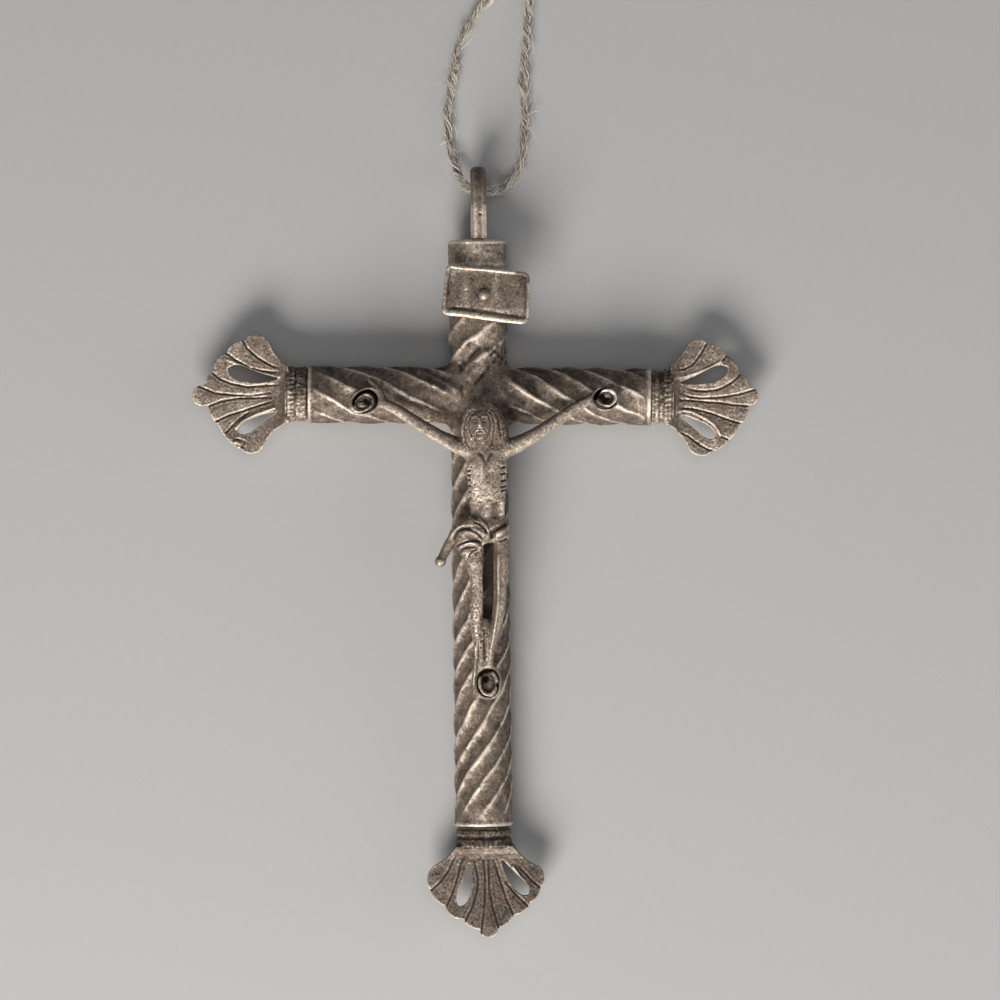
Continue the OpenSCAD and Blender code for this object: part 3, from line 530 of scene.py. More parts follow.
class PendantSettings(PropertyGroup):
    worn_colour: FloatVectorProperty(
        name="Worn metal", description="Colour of the bright rubbed silver", subtype="COLOR", size=3,
        min=0, max=1, default=(0.80, 0.69, 0.585))
    patina_colour: FloatVectorProperty(
        name="Patina", description="Colour of the dull silver between", subtype="COLOR", size=3,
        min=0, max=1, default=(0.275, 0.215, 0.172))
    soot_colour: FloatVectorProperty(
        name="Soot", description="Colour of the tarnish in the hollows", subtype="COLOR", size=3,
        min=0, max=1, default=(0.040, 0.030, 0.023))
    deposit_colour: FloatVectorProperty(
        name="Deposit", description="Colour of the brown deposit in the dull places", subtype="COLOR", size=3,
        min=0, max=1, default=(0.19, 0.118, 0.074))
    twine_light: FloatVectorProperty(
        name="Twine, light", description="Colour of the outer fibres of the twine", subtype="COLOR", size=3,
        min=0, max=1, default=(0.78, 0.715, 0.63))
    twine_shade: FloatVectorProperty(
        name="Twine, dark", description="Colour between the plies of the twine", subtype="COLOR", size=3,
        min=0, max=1, default=(0.17, 0.142, 0.115))
    floor_colour: FloatVectorProperty(
        name="Floor", description="Colour of the floor", subtype="COLOR", size=3,
        min=0, max=1, default=(0.46, 0.46, 0.46))
    flute_depth: FloatProperty(
        name="Flute depth", description="Depth of the twisted tube's flutes", subtype="DISTANCE",
        unit="LENGTH", min=0.0002, max=0.0006, default=0.00042, precision=5)
    twine_lead: FloatProperty(
        name="Twine lead", description="Length in which a ply of the twine goes once round",
        subtype="DISTANCE", unit="LENGTH", min=0.003, max=0.008, default=0.0058, precision=5)
    fuzz_count: IntProperty(
        name="Loose fibres", description="Number of loose fibres along the twine", min=0, max=900,
        default=640)


# ---- Stage ----

# In metres: the floor, and the camera that looks straight down, turned a little
FLOOR_CENTRE, FLOOR_SIZE = (0.0035, 0.0078, 0.0), 3.0
VIEW_PLACE, VIEW_TURN, LENS, SENSOR = (0.0035, 0.00782, 1.0), math.radians(0.66), 239, 36
# Soft lights: name, place, size, power and tint. They all point at one place just over the floor
LAMPS = [("Key", (-0.19, -0.57, 0.45), 0.40, 7.4, (1.0, 0.97, 0.93)),
         ("Top", (0.05, 0.10, 1.25), 0.8, 2.7, (1.0, 0.98, 0.96)),
         ("Side", (0.75, -0.10, 0.35), 0.4, 1.0, (0.98, 0.98, 1.0))]
LIT_PLACE = Vector((0, 0, 0.004))
ROOM_COLOUR, ROOM_POWER = (0.80, 0.82, 0.85, 1), 0.135


class PENDANT_OT_stage(Operator):
    """Adds the floor, the soft lights and the camera that looks straight down"""
    bl_idname = "pendant.stage"
    bl_label = "Stage"

    def execute(self, context):
        deselect()
        bpy.ops.mesh.primitive_plane_add(size=FLOOR_SIZE, location=FLOOR_CENTRE)
        floor = context.object
        floor.name = "Floor"
        floor.data.materials.append(floor_material())
        bpy.ops.object.camera_add(location=VIEW_PLACE, rotation=(0, 0, -VIEW_TURN))
        camera = context.object
        camera.name = "Camera"
        camera.data.sensor_width, camera.data.lens = SENSOR, LENS
        camera.data.clip_start, camera.data.clip_end = 0.05, 20
        context.scene.camera = camera
        for name, place, size, power, tint in LAMPS:
            deselect()
            bpy.ops.object.light_add(type="AREA", location=place)
            lamp = context.object
            lamp.name = name
            lamp.data.size, lamp.data.energy, lamp.data.color = size, power, tint
            lamp.rotation_euler = (LIT_PLACE - Vector(place)).to_track_quat("-Z", "Y").to_euler()
        world = bpy.data.worlds.new("Room")
        world.use_nodes = True
        air = world.node_tree.nodes["Background"].inputs
        air["Color"].default_value, air["Strength"].default_value = ROOM_COLOUR, ROOM_POWER
        context.scene.world = world
        context.scene.view_settings.view_transform = "Standard"
        return {"FINISHED"}


# ---- Twine ----

# Where the twine's places count from: the upright's axis at the top of the hanging loop, on the floor
TWINE_ORIGIN = np.array([0.5, 57.8, 0.0])
# Route from inside the hanging loop by the right strand to the knot and back by the left strand
TWINE_ROUTE = [
    (0.4, -3.35, 3.1), (1.3, -3.5, 3.1), (2.1, -3.6, 2.8), (2.9, -3.5, 2.2), (3.6, -3.3, 1.6),
    (4.4, -2.8, 1.1), (5.1, -2.2, 0.9), (5.8, -1.4, 0.8), (6.4, -0.3, 0.8), (6.8, 1.4, 0.8),
    (7.1, 3.5, 0.8), (7.3, 5.8, 0.8), (7.4, 8.2, 0.8), (7.3, 10.2, 0.8), (7.2, 12.4, 0.8),
    (7.3, 14.6, 0.8), (7.6, 17.2, 0.8), (7.8, 19.4, 0.8), (7.9, 21.4, 0.8), (8.1, 23.4, 0.8),
    (8.3, 25.4, 0.8), (8.5, 27.4, 0.8), (8.7, 29.4, 0.8), (8.8, 31.2, 0.8), (8.7, 33.0, 0.8),
    (8.6, 34.4, 0.9), (8.4, 35.8, 1.3), (7.8, 36.6, 1.6), (7.2, 35.8, 1.3), (7.0, 34.4, 0.9),
    (6.9, 33.0, 0.8), (6.2, 31.0, 0.8), (4.6, 28.4, 0.8), (3.0, 26.4, 0.8), (1.6, 25.0, 0.8),
    (0.2, 23.2, 0.8), (-1.1, 21.2, 0.8), (-2.0, 19.4, 0.8), (-2.7, 17.6, 0.8), (-3.1, 15.6, 0.8),
    (-3.4, 13.6, 0.8), (-3.8, 11.6, 0.8), (-4.1, 9.4, 0.8), (-4.2, 7.4, 0.8), (-4.2, 5.4, 0.8),
    (-4.0, 3.6, 0.8), (-3.6, 1.8, 0.9), (-3.1, 0.2, 1.3), (-2.5, -1.2, 2.0), (-1.9, -2.4, 2.6),
    (-1.1, -3.0, 3.0), (-0.4, -3.25, 3.1), (0.2, -3.3, 3.1)]
# The knot's two tails, and the middle, reach and turns of its wrap
TAILS = [[(7.3, 37.2, 1.5), (7.0, 39.2, 1.2), (6.6, 41.0, 0.8), (6.3, 42.9, 0.8)],
         [(8.4, 37.2, 1.5), (8.9, 39.2, 1.2), (9.4, 40.8, 0.8), (9.7, 42.1, 0.8)]]
KNOT_MIDDLE, KNOT_REACH, KNOT_TURNS = (7.8, 34.9, 1.62), (1.5, 2.9, 0.78), 2.2
# Steps along the loop and the knot, strands in a ply of each, how far a ply's middle is from the twine's,
# and how loosely its strands lie round it
LOOP_STEP, KNOT_STEP, LOOP_STRANDS, KNOT_STRANDS = 0.22, 0.16, 17, 11
PLY_APART, PLY_SPREAD = 0.235, 0.86


def fine_path(points, step):
    """A smooth line through the points with even steps."""
    pts = np.array(points, float)
    padded = np.vstack([2 * pts[0] - pts[1], pts, 2 * pts[-1] - pts[-2]])
    out = []
    for i in range(len(pts) - 1):
        a, b, c, d = padded[i:i + 4]
        for t in np.linspace(0, 1, 12, endpoint=False):
            out.append(0.5 * (2 * b + (c - a) * t + (2 * a - 5 * b + 4 * c - d) * t * t
                              + (3 * b - a - 3 * c + d) * t ** 3))
    out.append(pts[-1])
    out = np.array(out)
    run = np.concatenate([[0], np.cumsum(np.linalg.norm(np.diff(out, axis=0), axis=1))])
    count = max(int(run[-1] / step), 2)
    at = np.linspace(0, run[-1], count + 1)
    return np.stack([np.interp(at, run, out[:, k]) for k in range(3)], axis=1), at


def frames_along(path):
    """A heading, a side and an up direction at each point of a path, without sudden turns."""
    heading = np.gradient(path, axis=0)
    heading /= np.linalg.norm(heading, axis=1)[:, None]
    side = np.cross(heading, [0, 0, 1.0])
    side /= np.linalg.norm(side, axis=1)[:, None]
    return heading, side, np.cross(side, heading)


def skin(centre, side, up, radius, ring):
    """Points and faces of a closed tube round a path; ring holds the angles of a cross-section."""
    rings = (centre[:, None, :] + side[:, None, :] * (np.cos(ring)[None, :] * radius[:, None])[:, :, None]
             + up[:, None, :] * (np.sin(ring)[None, :] * radius[:, None])[:, :, None])
    count, sides, _ = rings.shape
    base = np.arange(count - 1)[:, None] * sides + np.arange(sides)[None, :]
    nxt = np.arange(count - 1)[:, None] * sides + (np.arange(sides)[None, :] + 1) % sides
    faces = np.stack([base, nxt, nxt + sides, base + sides], axis=-1).reshape(-1, 4).tolist()
    faces.append(list(range(sides - 1, -1, -1)))
    faces.append([(count - 1) * sides + k for k in range(sides)])
    return rings.reshape(-1, 3), faces


def twine_mesh(name, parts):
    """One mesh object from several (points, faces, lightness) parts."""
    points, faces, values, start = [], [], [], 0
    for pts, fcs, val in parts:
        points.append(pts)
        faces.extend([[i + start for i in face] for face in fcs])
        values.append(val)
        start += len(pts)
    mesh = bpy.data.meshes.new(name)
    mesh.from_pydata(np.vstack(points).tolist(), [], faces)
    mesh.update()
    obj = bpy.data.objects.new(name, mesh)
    bpy.context.collection.objects.link(obj)
    Clay(obj).store("fibre", np.concatenate(values))
    return obj


def strand(path, at, lead, turn, offset, own_turn, radius, seed):
    """One fibre bundle of a ply: it goes round the ply's middle, and the ply goes round the path."""
    rng = np.random.default_rng(seed)
    _, side, up = frames_along(path)
    sway, lift = (sum(rng.uniform(0.02, 0.11) * np.sin(at / rng.uniform(0.4, 3.5) + rng.uniform(0, 6.3))
                      for _ in range(4)) for _ in range(2))
    drift = 1.3 * np.sin(at / 6.1 + 1.0) + 0.75 * np.sin(at / 2.3)
    slim = ((1 + 0.24 * np.sin(at / 2.9 + 0.7) + 0.15 * np.sin(at / 1.15 + 2.0))
            * (1 + 0.35 * ramp(path[:, 1], 79, 84)))
    angle = 2 * math.pi * at / lead + turn + drift
    apart, offset = PLY_APART * slim, PLY_SPREAD * offset * slim
    own = angle + own_turn + 2 * math.pi * at / (2.2 * lead)
    across = np.cos(angle) * apart + np.cos(own) * offset + sway
    above = np.sin(angle) * apart * 0.9 + np.sin(own) * offset + lift
    centre = path + side * across[:, None] + up * above[:, None]
    centre[:, 2] = np.maximum(centre[:, 2], radius + 0.02)
    _, side, up = frames_along(centre)
    ring = np.linspace(0, 2 * math.pi, 4, endpoint=False)
    r = radius * (1 + 0.25 * np.sin(at / rng.uniform(0.6, 2.0) + rng.uniform(0, 6.3)))
    points, faces = skin(centre, side, up, r, ring)
    # Strands further in are painted darker, as shade between the plies; each strand has its own lightness too
    out = np.hypot(across, above)
    value = np.clip((out - 0.22) / 0.5, 0, 1) * 0.70 + rng.uniform(-0.22, 0.50)
    return points, faces, np.repeat(value, len(ring))


def twisted_twine(path, at, lead, per_ply, seed):
    """Two plies, each a bundle of fibre strands."""
    rng = np.random.default_rng(seed)
    parts = []
    for turn in (0, math.pi):
        for k in range(per_ply):
            offset = rng.uniform(0.13, 0.36) if k else 0.0
            parts.append(strand(path, at, lead, turn, offset, 2 * math.pi * k / max(per_ply - 1, 1),
                                rng.uniform(0.045, 0.10) if k else 0.17, seed * 100 + k + int(turn) * 40))
    return parts


# Long stray fibres that stand off the loop, in the frame's own place
STRAYS = [[(-0.9, 77.6, 0.9), (-0.2, 77.9, 1.1), (0.7, 77.7, 0.7)],
          [(8.1, 65.6, 0.9), (9.3, 66.2, 1.2), (10.1, 66.3, 0.8), (9.6, 67.4, 0.5)],
          [(-5.0, 61.4, 0.5), (-3.9, 61.8, 1.5), (-2.9, 62.3, 0.9)],
          [(-1.6, 75.8, 1.2), (-0.2, 76.9, 1.4), (0.9, 79.3, 1.0)],
          [(8.3, 68.5, 1.2), (8.9, 71.0, 1.3), (8.5, 73.4, 0.9)]]


def fibre(line, radius, value):
    """One thin fibre along a few points, finer towards its end."""
    _, side, up = frames_along(line)
    thinner = radius * (1 - 0.55 * np.linspace(0, 1, len(line)))
    points, faces = skin(line, side, up, thinner, np.array([0, 2.094, 4.189]))
    return points, faces, np.full(len(points), value)


def fuzz(path, count, seed, reach=0.85):
    """Loose fibres that leave the twine in low curves."""
    rng = np.random.default_rng(seed)
    heading, side, up = frames_along(path)
    parts = []
    for _ in range(count):
        i = rng.integers(3, len(path) - 4)
        a = rng.uniform(0, 2 * math.pi)
        out = side[i] * math.cos(a) + up[i] * abs(math.sin(a)) * 0.6
        stray = rng.random() < 0.05
        length = rng.uniform(1.8, 3.6) if stray else rng.uniform(0.8, 2.6)
        lift = rng.uniform(0.25, 1.0) * reach * (1.6 if stray else 1.0)
        way = 1 if rng.random() > 0.4 else -1
        bend = rng.uniform(-0.5, 0.5)
        line = []
        for t in np.linspace(0, 1, 6):
            p = (path[i] + out * (0.55 + lift * math.sin(t * 1.9) * 0.8)
                 + heading[i] * way * length * t + side[i] * bend * t * t)
            p[2] = max(p[2], 0.06)
            line.append(p)
        parts.append(fibre(np.array(line), 0.062 if stray else 0.036, rng.uniform(0.75, 1.2)))
    return parts


class PENDANT_OT_twine(Operator):
    """Lays the two-ply twine through the hanging loop and ties its knot"""
    bl_idname = "pendant.twine"
    bl_label = "Twine"

    def execute(self, context):
        settings = context.scene.pendant
        lead = settings.twine_lead / MM
        path, at = fine_path(TWINE_ROUTE, LOOP_STEP)
        path = path + TWINE_ORIGIN
        parts = twisted_twine(path, at, lead, LOOP_STRANDS, 1)
        parts += fuzz(path, settings.fuzz_count, 5)
        parts += [fibre(fine_path(line, 0.25)[0], 0.055, 1.3) for line in STRAYS]
        twine = twine_mesh("Twine_loop", parts)
        t = np.linspace(0, 1, 90)
        turn = 2 * math.pi * KNOT_TURNS * t + 0.6
        wrap = np.stack([KNOT_MIDDLE[0] + KNOT_REACH[0] * np.cos(turn),
                         KNOT_MIDDLE[1] + KNOT_REACH[1] * t + 0.12 * np.sin(9 * t),
                         KNOT_MIDDLE[2] + KNOT_REACH[2] * np.sin(turn)], axis=1)
        knot_parts = []
        for k, line in enumerate([wrap, *TAILS]):
            line_path, line_at = fine_path(line, KNOT_STEP)
            line_path = line_path + TWINE_ORIGIN
            knot_parts += twisted_twine(line_path, line_at, lead, KNOT_STRANDS, 7 + k)
            knot_parts += fuzz(line_path, 26, 11 + k, 0.6)
        knot = twine_mesh("Twine_knot", knot_parts)
        material = twine_material()
        for obj, node in ((twine, "hanging_cord"), (knot, "cord_knot")):
            clay = Clay(obj)
            clay.co = clay.co * MM
            clay.write()
            obj.data.materials.append(material)
            stand_for(obj, node)
        return {"FINISHED"}


# ---- Cross tube ----

# Where a crest faces the viewer, along the upright and along the arms, and the flutes side by side:
# on the upright over the crossing, and everywhere else
UPRIGHT_CRESTS = [-66.9, -62.4, -57.8, -53.6, -49.2, -44.0, -39.2, -35.0, -30.4, -25.2, -20.7, -16.2, -11.9,
                  -7.5, -3.2, 1.2, 5.4, 9.0, 13.2, 17.6, 22.0]
ARM_CRESTS = [-29.8, -23.6, -16.9, -10.6, -4.0, 2.0, 8.0, 13.1, 17.9, 24.2, 30.0]
FLUTES_OVER, FLUTES = 5, 8
# Worn ridges and hollows of the crossing: points, width and height
CROSSING_LINES = [
    ([(-2.05, 2.1), (-1, 3.55), (0.55, 5.35), (2.05, 6.7)], 0.85, 0.28),
    ([(-1.0, 1.3), (0.5, 2.8), (1.9, 4.45), (2.95, 5.45)], 0.30, -0.14),
    ([(-3.15, 3.2), (-2.05, 4.7), (-0.55, 6.45), (0.65, 7.5)], 0.30, -0.16),
    ([(-2.5, 3.6), (-2.9, 4.8)], 0.3, -0.2),
    ([(3.2, 2.9), (5.15, 1.7), (7.7, -0.15), (9.9, -1.5)], 0.38, 0.22),
    ([(2.75, 1.7), (4.7, 0.2), (7.35, -1.65)], 0.60, -0.15),
    ([(-9.7, 3.8), (-7, 2.9), (-4.6, 1.65), (-2.65, 0.15)], 0.38, 0.2),
    ([(-9.85, 2), (-7.3, 1.1), (-4.75, -0.3), (-3.45, -1.8)], 0.60, -0.16),
    ([(-2.5, 1.8), (-2.65, 0.75), (-2.35, -0.3)], 0.17, -0.12),
    ([(-0.1, -0.35), (1.25, 0.55), (3.2, 0.65)], 0.5, -0.1)]
# Dents of the tube: place, radius and depth
TUBE_DENTS = [(-2.7, 5.0, 3.5, 0.55, 0.5), (2.6, 6.1, 3.6, 0.7, 0.3), (3.1, 7.3, 3.2, 0.45, 0.3),
              (-3.2, -1.0, 3.6, 0.5, 0.25), (0.6, 3.1, 4.3, 0.3, 0.2), (-1.5, 7.6, 4.0, 0.5, 0.16),
              (0.3, -25.7, 4.1, 0.8, 0.15), (-2.2, -33.5, 3.6, 0.6, 0.14), (1.2, -48.0, 4.0, 0.5, 0.15)]


def along_arms(co):
    """Each point along the arms and across them."""
    x, y, _ = co.T
    cos, sin = math.cos(ARM_FALL), math.sin(ARM_FALL)
    return x * cos - y * sin, x * sin + y * cos


def crest_phases(co):
    """How many crests each point is along, on the upright and on the arms: whole on a crest."""
    x, y, z = co.T
    ax, ay = along_arms(co)
    upright = np.interp(y, UPRIGHT_CRESTS, np.arange(len(UPRIGHT_CRESTS)))
    arms = np.interp(ax, ARM_CRESTS, np.arange(len(ARM_CRESTS)))
    return (upright - np.arctan2(x, z) * np.where(y > 0, FLUTES_OVER, FLUTES) / (2 * math.pi),
            arms - np.arctan2(-ay, z) * FLUTES / (2 * math.pi))


def uneven(co):
    """How far the flutes wander."""
    return rough(co, (0.065, 3.3, 3), (0.045, 1.3, 4))


def crest_light_and_shade(phase, flank, crest):
    """Painted shade on one side of each crest and painted light on its other side, with a lighter line on the
    crest that is both wear and painted highlight.
    """
    off = phase - np.round(phase)
    return 0.22 * bell(off - 0.13, 0.09) - flank * bell(off + 0.14, 0.12) - crest * bell(off, 0.065)


def crumbly(co):
    """The two crumbly places of the crossing."""
    return (spot(co, 2.6, 6.0, 1.3) + spot(co, -6.0, -3.8, 1.0, wide=2.2)) * (co[:, 2] > 0)


def open_ends(co, widths, foot, left):
    """The rims at the tube's open ends, each with its width: the foot, the left and the right."""
    ax, _ = along_arms(co)
    return (bell(co[:, 1] - (FOOT + foot), widths[0]) + bell(ax - (LEFT + left), widths[1])
            + bell(ax - (RIGHT - 0.35), widths[2]))


def rib_height(phase, depth):
    """Height over the flute's bottom, with a narrow crest and a shallow round flute."""
    d = np.abs(phase - np.round(phase))
    return depth * (0.92 * (1 - np.sin(np.pi * d)) + 0.08 * bell(d, 0.12)) - depth


class PENDANT_OT_cross_tube(Operator):
    """Models the twisted tube of the upright and the arms, with its worn crossing"""
    bl_idname = "pendant.cross_tube"
    bl_label = "Cross tube"

    def execute(self, context):
        depth = context.scene.pendant.flute_depth / MM

        def along_x(radius, past, sides):
            arms = rod(radius, LEFT - past, RIGHT + past, "X", sides)
            arms.rotation_euler = (0, 0, -ARM_FALL)
            fix_place(arms)
            return arms

        def field(co):
            """How far each point is outside the fluted tube."""
            x, y, z = co.T
            ax, ay = along_arms(co)
            wobble = uneven(co) + lumps(co, 0.6, 5) * 0.022
            phase1, phase2 = crest_phases(co)
            bulge = 0.28 * bell(y - 9.3, 3.2) - 0.16 * bell(y - 5.6, 2.2)
            end1 = ramp(y - FOOT, 0.6, 4.2)
            end2 = ramp(ax - LEFT, 0.5, 3.4) * ramp(RIGHT - ax, 0.5, 3.4)
            clear1 = ramp(np.abs(y + 0.3), 3.6, 6.4) * 0.85 + 0.15
            clear2 = ramp(np.abs(ax), 3.4, 5.6) * 0.85 + 0.15
            size1 = CREST_R - 0.14 * (1 - end1) + bulge * ramp(z, -2, 2)
            size2 = CREST_R - 0.02 - 0.14 * (1 - end2)
            f1 = np.hypot(x, z) - (size1 + rib_height(phase1 + wobble, depth) * end1 * clear1
                                   - 0.10 * (1 - clear1) + wobble)
            f2 = np.hypot(ay, z) - (size2 + rib_height(phase2 + wobble, depth * 1.05) * end2 * clear2
                                    - 0.06 * (1 - clear2) + wobble)
            h = np.clip(0.5 + 0.5 * (f2 - f1) / FILLET, 0, 1)
            f = f2 * (1 - h) + f1 * h - FILLET * h * (1 - h)
            near = spot(co, 0.0, 1.0, 6.0) * ramp(z, -2, 1)
            return f - near * rough(co, (0.20, 2.6, 8), (0.05, 1.1, 9))

        tube = joined([rod(ROD_R, FOOT, TOP, "Y"), along_x(ROD_R, 0, 96)])
        tube.name = "Cross_tube"
        remesh(tube, GRAIN["tube"])
        clay = Clay(tube)
        n = clay.normals()
        flat = ((np.abs(n[:, 1]) > 0.8) & ((clay.co[:, 1] < FOOT + 0.3) | (clay.co[:, 1] > TOP - 0.3))
                | (np.abs(n[:, 0]) > 0.8) & (np.abs(clay.co[:, 0]) > 25.2))
        free = 1.0 - flat
        for _ in range(4):
            base = field(clay.co)
            slope = np.stack([field(clay.co + step) - base for step in np.eye(3) * 0.02], axis=1) / 0.02
            step = slope * (base / np.maximum((slope ** 2).sum(1), 0.2))[:, None]
            clay.co = clay.co - 0.9 * step * free[:, None]
        clay.melt(1, free)
        for x, y, z, size, deep in TUBE_DENTS:
            d = np.linalg.norm(clay.co - (x, y, z), axis=1)
            clay.push(-deep * bell(d, size) * free)
        marks(clay, CROSSING_LINES)
        clay.push(crumbly(clay.co) * 0.20 * lumps(clay.co, 0.5, 12))
        ends = open_ends(clay.co, (0.28, 0.26, 0.28), 0.35, 0.3)
        clay.push(0.12 * ends * free * (1 + 0.35 * lumps(clay.co, 1.2, 13)))
        clay.write()

        arm_bore = along_x(BORE_R, 1, 64)
        bore = joined([rod(BORE_R, FOOT - 1, TOP + 1, "Y", 64), arm_bore])
        remesh(bore, GRAIN["bore"])
        foot_x, foot_y = FEET_NAIL
        cut(tube, [bore, *[rod(NAIL_HOLE_R, 0, 9, "Z", 40, middle) for middle in (LEFT_NAIL, RIGHT_NAIL)],
                   rod(PIN_HOLE_R, 0, 9, "Z", 24, PIN),
                   *[rod(NAIL_HOLE_R, 0, 9, "Z", 40, (foot_x, foot_y + way * FOOT_STRETCH))
                     for way in (1, -1)],
                   block((2 * NAIL_HOLE_R, 2 * FOOT_STRETCH, 9), (foot_x, foot_y, 4.5))])
        clay = Clay(tube)
        make_oval(clay)
        clay.store("relief", clay.relief())
        clay.store("stain_and_painted_light", self.stain_and_painted_light(clay))
        clay.store("rust", 0.75 * spot(clay.co, -5.6, -3.4, 1.1, wide=2.4)
                   + 0.45 * spot(clay.co, 3.4, -1.6, 1.4) + 0.35 * spot(clay.co, -13.5, -0.6, 2.4))
        tube.data.materials.append(silver("Tube silver", soot=0.03, wear=0.50, pits=0.8, bump=0.9))
        thin_out(tube, MOST["tube"])
        seat(tube, "cross_tube")
        return {"FINISHED"}

    def stain_and_painted_light(self, clay):
        """Soot round the crossing, painted shade on the tube's lower sides and between the figure's legs,
        painted shade and light on the two sides of each crest with a crest line of wear and painted highlight,
        painted shade above and painted light below on the arms, uneven tone, crumbly places and lighter rims
        at the open ends.
        """
        x, y, z = clay.co.T
        ax, _ = along_arms(clay.co)
        total = 0.30 * spot(clay.co, -5.8, -3.6, 2.0) + 0.16 * spot(clay.co, 0.0, 0.5, 4.6)
        total += 0.30 * spot(clay.co, 4.4, -2.4, 1.3, wide=1.5)
        # The first term is painted shade, darker down the tube's sides towards the floor
        total += 0.21 * ramp(4.0 - z, 0, 6) - 0.06 * ramp(y, 3.5, 6.0) + 0.02 * ramp(-y, 6, 10)
        # Painted shade on the tube between the figure's legs
        total += 1.0 * bell(x - 1.35, 0.85) * ramp(-y, 20.5, 22) * ramp(y, -38, -34) * (z > 0)
        wobble = uneven(clay.co)
        ragged = np.clip(0.8 + 0.8 * lumps(clay.co, 0.8, 14), 0, 1.4)
        phase1, phase2 = crest_phases(clay.co)
        on_upright = (np.abs(x) < 4.6) & ((y < -5.0) | (y > 5.0))
        beside_figure = ramp(-y, 6, 10) * ramp(y, -42, -37)
        crest_wear_and_sheen = 1 - 0.40 * beside_figure - 0.55 * ramp(y, 4, 6)
        # Painted shade and light on the two sides of each crest, and a crest line that is both wear and
        # painted highlight, fainter beside the figure and at the neck
        total += (crest_light_and_shade(phase1 + wobble, 0.16 * (1 - ramp(y, 4, 6)), 0.40 * ragged * crest_wear_and_sheen)
                  * on_upright * ramp(y - FOOT, 0.5, 4))
        on_arms = (np.abs(ax) > 5.0) & (np.abs(ax) < 24.8)
        # The same painted crest light and shade on the arms
        total += crest_light_and_shade(phase2 + wobble, 0.10, 0.36 * ragged) * on_arms
        # Painted shade on the arms' upper side and painted light on their lower side
        total += (0.17 * ramp(y, -0.5, 3.4) - 0.10 * ramp(-y, 0.8, 3.6)) * on_arms
        total += rough(clay.co, (0.14, 1.1, 15), (0.10, 0.5, 16))
        total += 0.45 * crumbly(clay.co) * lumps(clay.co, 0.38, 17)
        return total - 0.26 * open_ends(clay.co, (0.3, 0.3, 0.3), 0.3, 0.3)


# ---- The other pieces ----

def dressed(node, kind, melt, material, shape=None, stain_and_painted_light=None, base=None):
    """A CAD node's copy, evenly meshed, shaped and given its relief, and its stains with painted light and
    shade.
    """
    obj = base or node_copy(node)
    obj.name = node.capitalize()
    remesh(obj, GRAIN[kind])
    clay = Clay(obj)
    clay.melt(melt)
    if shape:
        shape(clay)
    clay.write()
    thin_out(obj, MOST[kind])
    clay = Clay(obj)
    clay.store("relief", clay.relief())
    clay.store("stain_and_painted_light", np.zeros(clay.count) if stain_and_painted_light is None else stain_and_painted_light(clay))
    obj.data.materials.append(material)
    seat(obj, node)


class PENDANT_OT_cap_and_loop(Operator):
    """Models the cap on the upright and the hanging loop let into it"""
    bl_idname = "pendant.cap_and_loop"
    bl_label = "Cap and loop"

    def execute(self, context):
        def cap_shape(clay):
            dent = np.linalg.norm(clay.co - (-3.05, 20.5, 3.3), axis=1)
            clay.push(-0.30 * bell(dent, 0.9) + rough(clay.co, (0.07, 1.4, 21), (0.04, 0.5, 22)))
            marks(clay, [([(-4.1, 22.85), (-0.3, 22.95), (4.1, 22.75)], 0.22, 0.08)])
            pits(clay, 120, 26, clay.normals()[:, 2] > 0.1, (0.12, 0.2), (0.03, 0.08))

        def cap_shade_and_tone(clay):
            _, y, z = clay.co.T
            edge = bell(y - 22.9, 0.25) + 0.6 * bell(y - 19.6, 0.3)
            # Painted shade on the cap's lower sides, lighter lines along its top and bottom edges, uneven tone
            # and a lighter whole
            return 0.2 * ramp(3.4 - z, 0, 4) - 0.10 + 0.07 * lumps(clay.co, 1.3, 25) - 0.22 * edge

        def loop_shape(clay):
            clay.push(rough(clay.co, (0.05, 1.1, 23), (0.025, 0.45, 24)))
            marks(clay, [([(0.5, 27.1)], 0.22, -0.16)])

        def loop_light_and_shade(clay):
            x, y, _ = clay.co.T
            middle = bell(x - 0.45, 0.55)
            # Painted shade over the top of the bow and where it goes into the cap, painted highlights along
            # its long edges, and its middle a little darker
            return (0.07 * middle + 0.24 * ramp(y, 27.8, 29.5) + 0.20 * bell(y - 23.4, 0.4)
                    - 0.32 * (1 - middle) * ramp(29.0 - y, 0, 1.5))

        dressed("top_cap", "cap", 5, silver("Cap silver", soot=0.03, mottle=0.5, pits=0.5),
                cap_shape, cap_shade_and_tone)
        dressed("hanging_loop", "loop", 5,
                silver("Loop silver", soot=-0.10, mottle=0.7, pits=0.3), loop_shape, loop_light_and_shade)
        return {"FINISHED"}


# Lines of the bare plate, points, width and height: its rolled lower lip, soft raised edges and the
# hollow round the pin
PLATE_LINES = [
    ([(-5.1, 12.4), (-2.7, 12.2), (0.3, 11.75), (3.3, 11.15), (7.0, 10.75)], 0.42, 0.20),
    ([(-5.2, 12.75), (-2.7, 12.6), (0.3, 12.1), (3.3, 11.45), (6.9, 11.05)], 0.12, 0.05),
    ([(-5.0, 12.0), (0.3, 11.35), (4.8, 10.65), (7.05, 10.45)], 0.12, 0.05),
    ([(-4.45, 13.2), (0.35, 12.7), (4.05, 12.05), (6.6, 11.7)], 0.20, -0.08),
    ([(-4.25, 19.2), (-1.85, 18.8), (1.15, 18.7), (4.15, 18.35), (6.7, 18.05)], 0.30, 0.10),
    ([(-4.7, 18.6), (-5.05, 15.9), (-5.3, 13.2)], 0.28, 0.10),
    ([(7.75, 17.25), (7.7, 14.25), (7.5, 11.25)], 0.22, 0.08),
    ([(0.95, 15.2)], 0.85, -0.20), ([(-0.1, 15.25), (0.2, 14.35)], 0.20, -0.10)]


